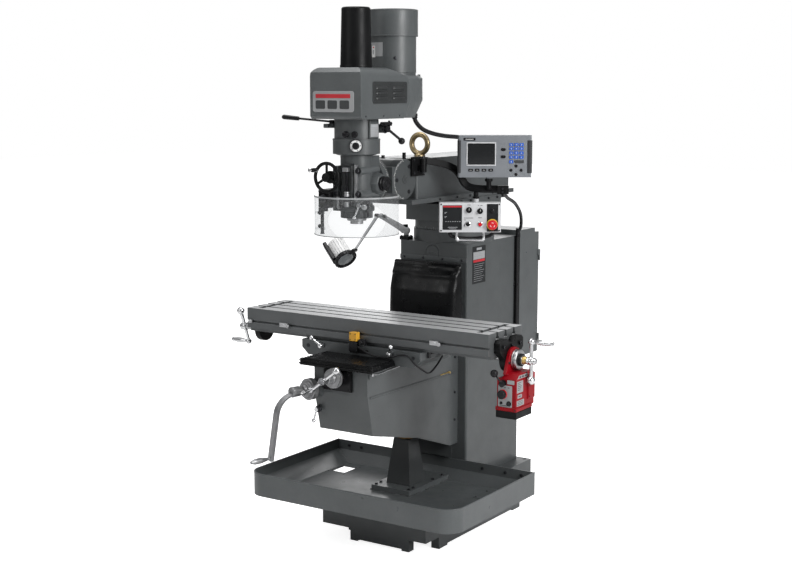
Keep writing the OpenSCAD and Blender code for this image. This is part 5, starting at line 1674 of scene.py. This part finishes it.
def power_feed_details():
    """Plates, knobs and cord of the table's power feed."""
    front = Shape()
    front.prism(rounded(703, 773, 806, 905, 5), (0, -575, 0), X, Z, 1.2)
    front.prism(rounded(748, 784, 912, 930, 3), (0, -575, 0), X, Z, 1.0)
    front.done("power_feed_front_plate", "table", "plate_grey", 0.3)
    side = Shape()
    for y0, y1, z0, z1 in ((-566, -510, 872, 925), (-560, -520, 848, 864), (-566, -500, 812, 838)):
        side.prism(rounded(y0, y1, z0, z1, 3), (792, 0, 0), Y, Z, 1.2)
    side.done("power_feed_side_plates", "table", "plate_grey", 0.3)
    text = Shape()
    for z in (916, 908, 900, 892, 884):
        text.box(792.8, 793.5, -560, -524 - 6 * (z % 3), z, z + 3)
    for z in (831, 824, 817):
        text.box(792.8, 793.5, -560, -510 - 4 * (z % 2), z, z + 2.4)
    text.box(792.8, 793.5, -552, -528, 854, 858)
    for x in (716, 734, 752):
        text.box(x, x + 8, -576.6, -576.0, 894, 897)
    text.box(712, 764, -576.6, -576.0, 812, 815)
    text.done("power_feed_print", "table", "print_dark")
    knob = Shape()
    knob.lathe((727, -576, 864), -Y, [(0, 22), (3, 22), (4, 20)], 40)
    knob.done("power_feed_knob_seat", "table", "button_red", 0.3)
    knob = Shape()
    knob.lathe((727, -580, 864), -Y, [(0, 19), (3, 20), (16, 18.6), (19, 16), (19, 0)], 40)
    for x, z in circle(727, 864, 18.6, 18):
        knob.lathe((x, -582, z), -Y, [(0, 2), (13, 1.6)], 6)
    knob.lathe((758, -576, 824), -Y, [(0, 12), (2, 12), (3, 9), (11, 8), (12, 6), (12, 0)], 28)
    knob.lathe((719, -576, 824), -Y, [(0, 7), (2, 7), (3, 5), (9, 4), (9, 0)], 20)
    knob.done("power_feed_knobs", "table", "knob", 0.3)
    lever = Shape()
    lever.lathe((728, -588, 912), -Y, [(0, 14), (4, 14), (6, 11), (6, 0)], 28)
    lever.ball((699, -606, 960), 17.6, 14)
    lever.done("power_feed_lever_ball", "feed_lever", "knob")
    seat = Shape()
    seat.lathe((728, -574.8, 912), -Y, [(-1, 17), (0.4, 17)], 30)
    seat.done("power_feed_lever_seat", "table", "oxide")
    slope = Shape()
    slope.prism([(-562, 936), (-548, 950), (-470, 950), (-470, 934)], (792, 0, 0), Y, Z, 1.2)
    slope.done("power_feed_name_plate", "table", "plate_grey", 0.2)
    dark = Shape()
    for k in range(3):
        dark.box(793, 793.6, -545 + 24 * k, -530 + 24 * k, 938, 946)
    dark.done("power_feed_name_blocks", "table", "print_dark")
    base = Shape()
    base.box(692.5, 796.5, -579.5, -430.5, 755.5, 790)
    base.done("power_feed_base", "table", "black", 4)
    cover = Shape()
    cover.prism(rounded(-466, -409, 834, 898, 8), (797, 0, 0), Y, Z, 2)
    cover.done("power_feed_brush_cover", "table", "red", 0.8)
    screws = Shape()
    for y in (-458, -417):
        for z in (842, 890):
            screws.screw((799, y, z), X, 3.4, 2, "pan")
    for x in (702, 790):
        screws.screw((x, -580, 798), -Y, 3.4, 2, "pan")
    for y in (-540, -424):
        screws.screw((736, y, 1000), X, 6, 5)
    screws.done("power_feed_screws", "table", "oxide")
    gear = Shape()
    gear.lathe((733, -540, 950), (0, -0.3, 1), [(0, 11), (4, 11), (5, 9), (5, 0)], 24)
    gear.done("power_feed_cap", "table", "steel", 0.3)
    cord = Shape()
    cord.hose([(745, -431, 800), (746, -418, 792), (747, -408, 768), (744, -400, 742), (735, -396, 730)],
              4.5, 8, 12)
    cord.done("power_feed_cord", "table", "cable")


column_apron()
front_pleats()
stand_details()
knee_details()
saddle_details()
table_details()
power_feed_details()


# ---------------------------------------------------------------- floor, light, camera

def area_light(name, place, target, size, power):
    """Rectangular lamp that looks at a point."""
    data = bpy.data.lights.new(name, "AREA")
    data.shape = "RECTANGLE"
    data.size, data.size_y = size
    data.energy = power
    o = bpy.data.objects.new(name, data)
    bpy.context.scene.collection.objects.link(o)
    o.location = place
    o.rotation_euler = (Vector(target) - Vector(place)).to_track_quat("-Z", "Y").to_euler()


def studio():
    """Pale floor and backdrop, seen white by the camera, with dimmer light and reflections on the machine."""
    s = Shader("studio_floor")
    seen = s.node("ShaderNodeLightPath").outputs["Is Camera Ray"]
    s.set(Base_Color=s.mix(s.noise(2.5, 3), (0.84, 0.84, 0.84), (0.87, 0.87, 0.87)), Roughness=0.8,
          Specular_IOR_Level=0.1, Normal=s.bump(s.noise(90, 2), 0.05, 0.0005),
          Emission_Color=(1.0, 1.0, 1.0), Emission_Strength=s.math("MULTIPLY", seen, 0.85))
    bm = bmesh.new()
    bmesh.ops.create_grid(bm, x_segments=8, y_segments=8, size=30)
    me = bpy.data.meshes.new("floor")
    bm.to_mesh(me)
    me.materials.append(s.mat)
    floor = bpy.data.objects.new("floor", me)
    bpy.context.scene.collection.objects.link(floor)
    floor.location.z = -0.0005
    world = bpy.data.worlds.new("studio")
    bpy.context.scene.world = world
    world.use_nodes = True
    tree = world.node_tree
    seen = tree.nodes.new("ShaderNodeLightPath")
    coord = tree.nodes.new("ShaderNodeTexCoord")
    split = tree.nodes.new("ShaderNodeSeparateXYZ")
    link(tree, coord.outputs["Generated"], split.inputs[0])
    sky = tree.nodes.new("ShaderNodeValToRGB")
    for item, (pos, value) in zip([sky.color_ramp.elements[0], sky.color_ramp.elements[1]],
                                  [(0.0, 0.14), (0.75, 0.5)]):
        item.position = pos
        item.color = (value, value, value * 1.01, 1)
    link(tree, split.outputs["Z"], sky.inputs["Fac"])
    pick = tree.nodes.new("ShaderNodeMix")
    pick.data_type = "RGBA"
    link(tree, seen.outputs["Is Camera Ray"], pick.inputs[0])
    link(tree, sky.outputs["Color"], pick.inputs[6])
    pick.inputs[7].default_value = (1.0, 1.0, 1.0, 1)
    link(tree, pick.outputs[2], tree.nodes["Background"].inputs[0])
    area_light("key", (5.6, -1.6, 3.6), (0, -0.3, 1.2), (2.2, 3.4), 340)
    area_light("front", (-2.4, -6.0, 4.0), (0, -0.4, 1.1), (2.6, 2.6), 62)
    area_light("back", (-2.6, 5.2, 3.4), (0, 0.3, 1.2), (3.0, 3.0), 60)
    area_light("top", (-0.6, -0.8, 6.0), (0, -0.3, 0.9), (3.0, 3.0), 150)
    scene = bpy.context.scene
    scene.view_settings.view_transform = "Standard"
    cam = bpy.data.cameras.new("camera")
    cam.sensor_width = 36
    cam.lens = 62.16
    o = bpy.data.objects.new("camera", cam)
    scene.collection.objects.link(o)
    o.location = (3.6170, -5.7929, 2.2095)
    o.rotation_euler = (math.radians(90 - 8.27), 0, math.radians(33.55))
    cam.clip_start, cam.clip_end = 0.1, 100
    scene.camera = o


studio()
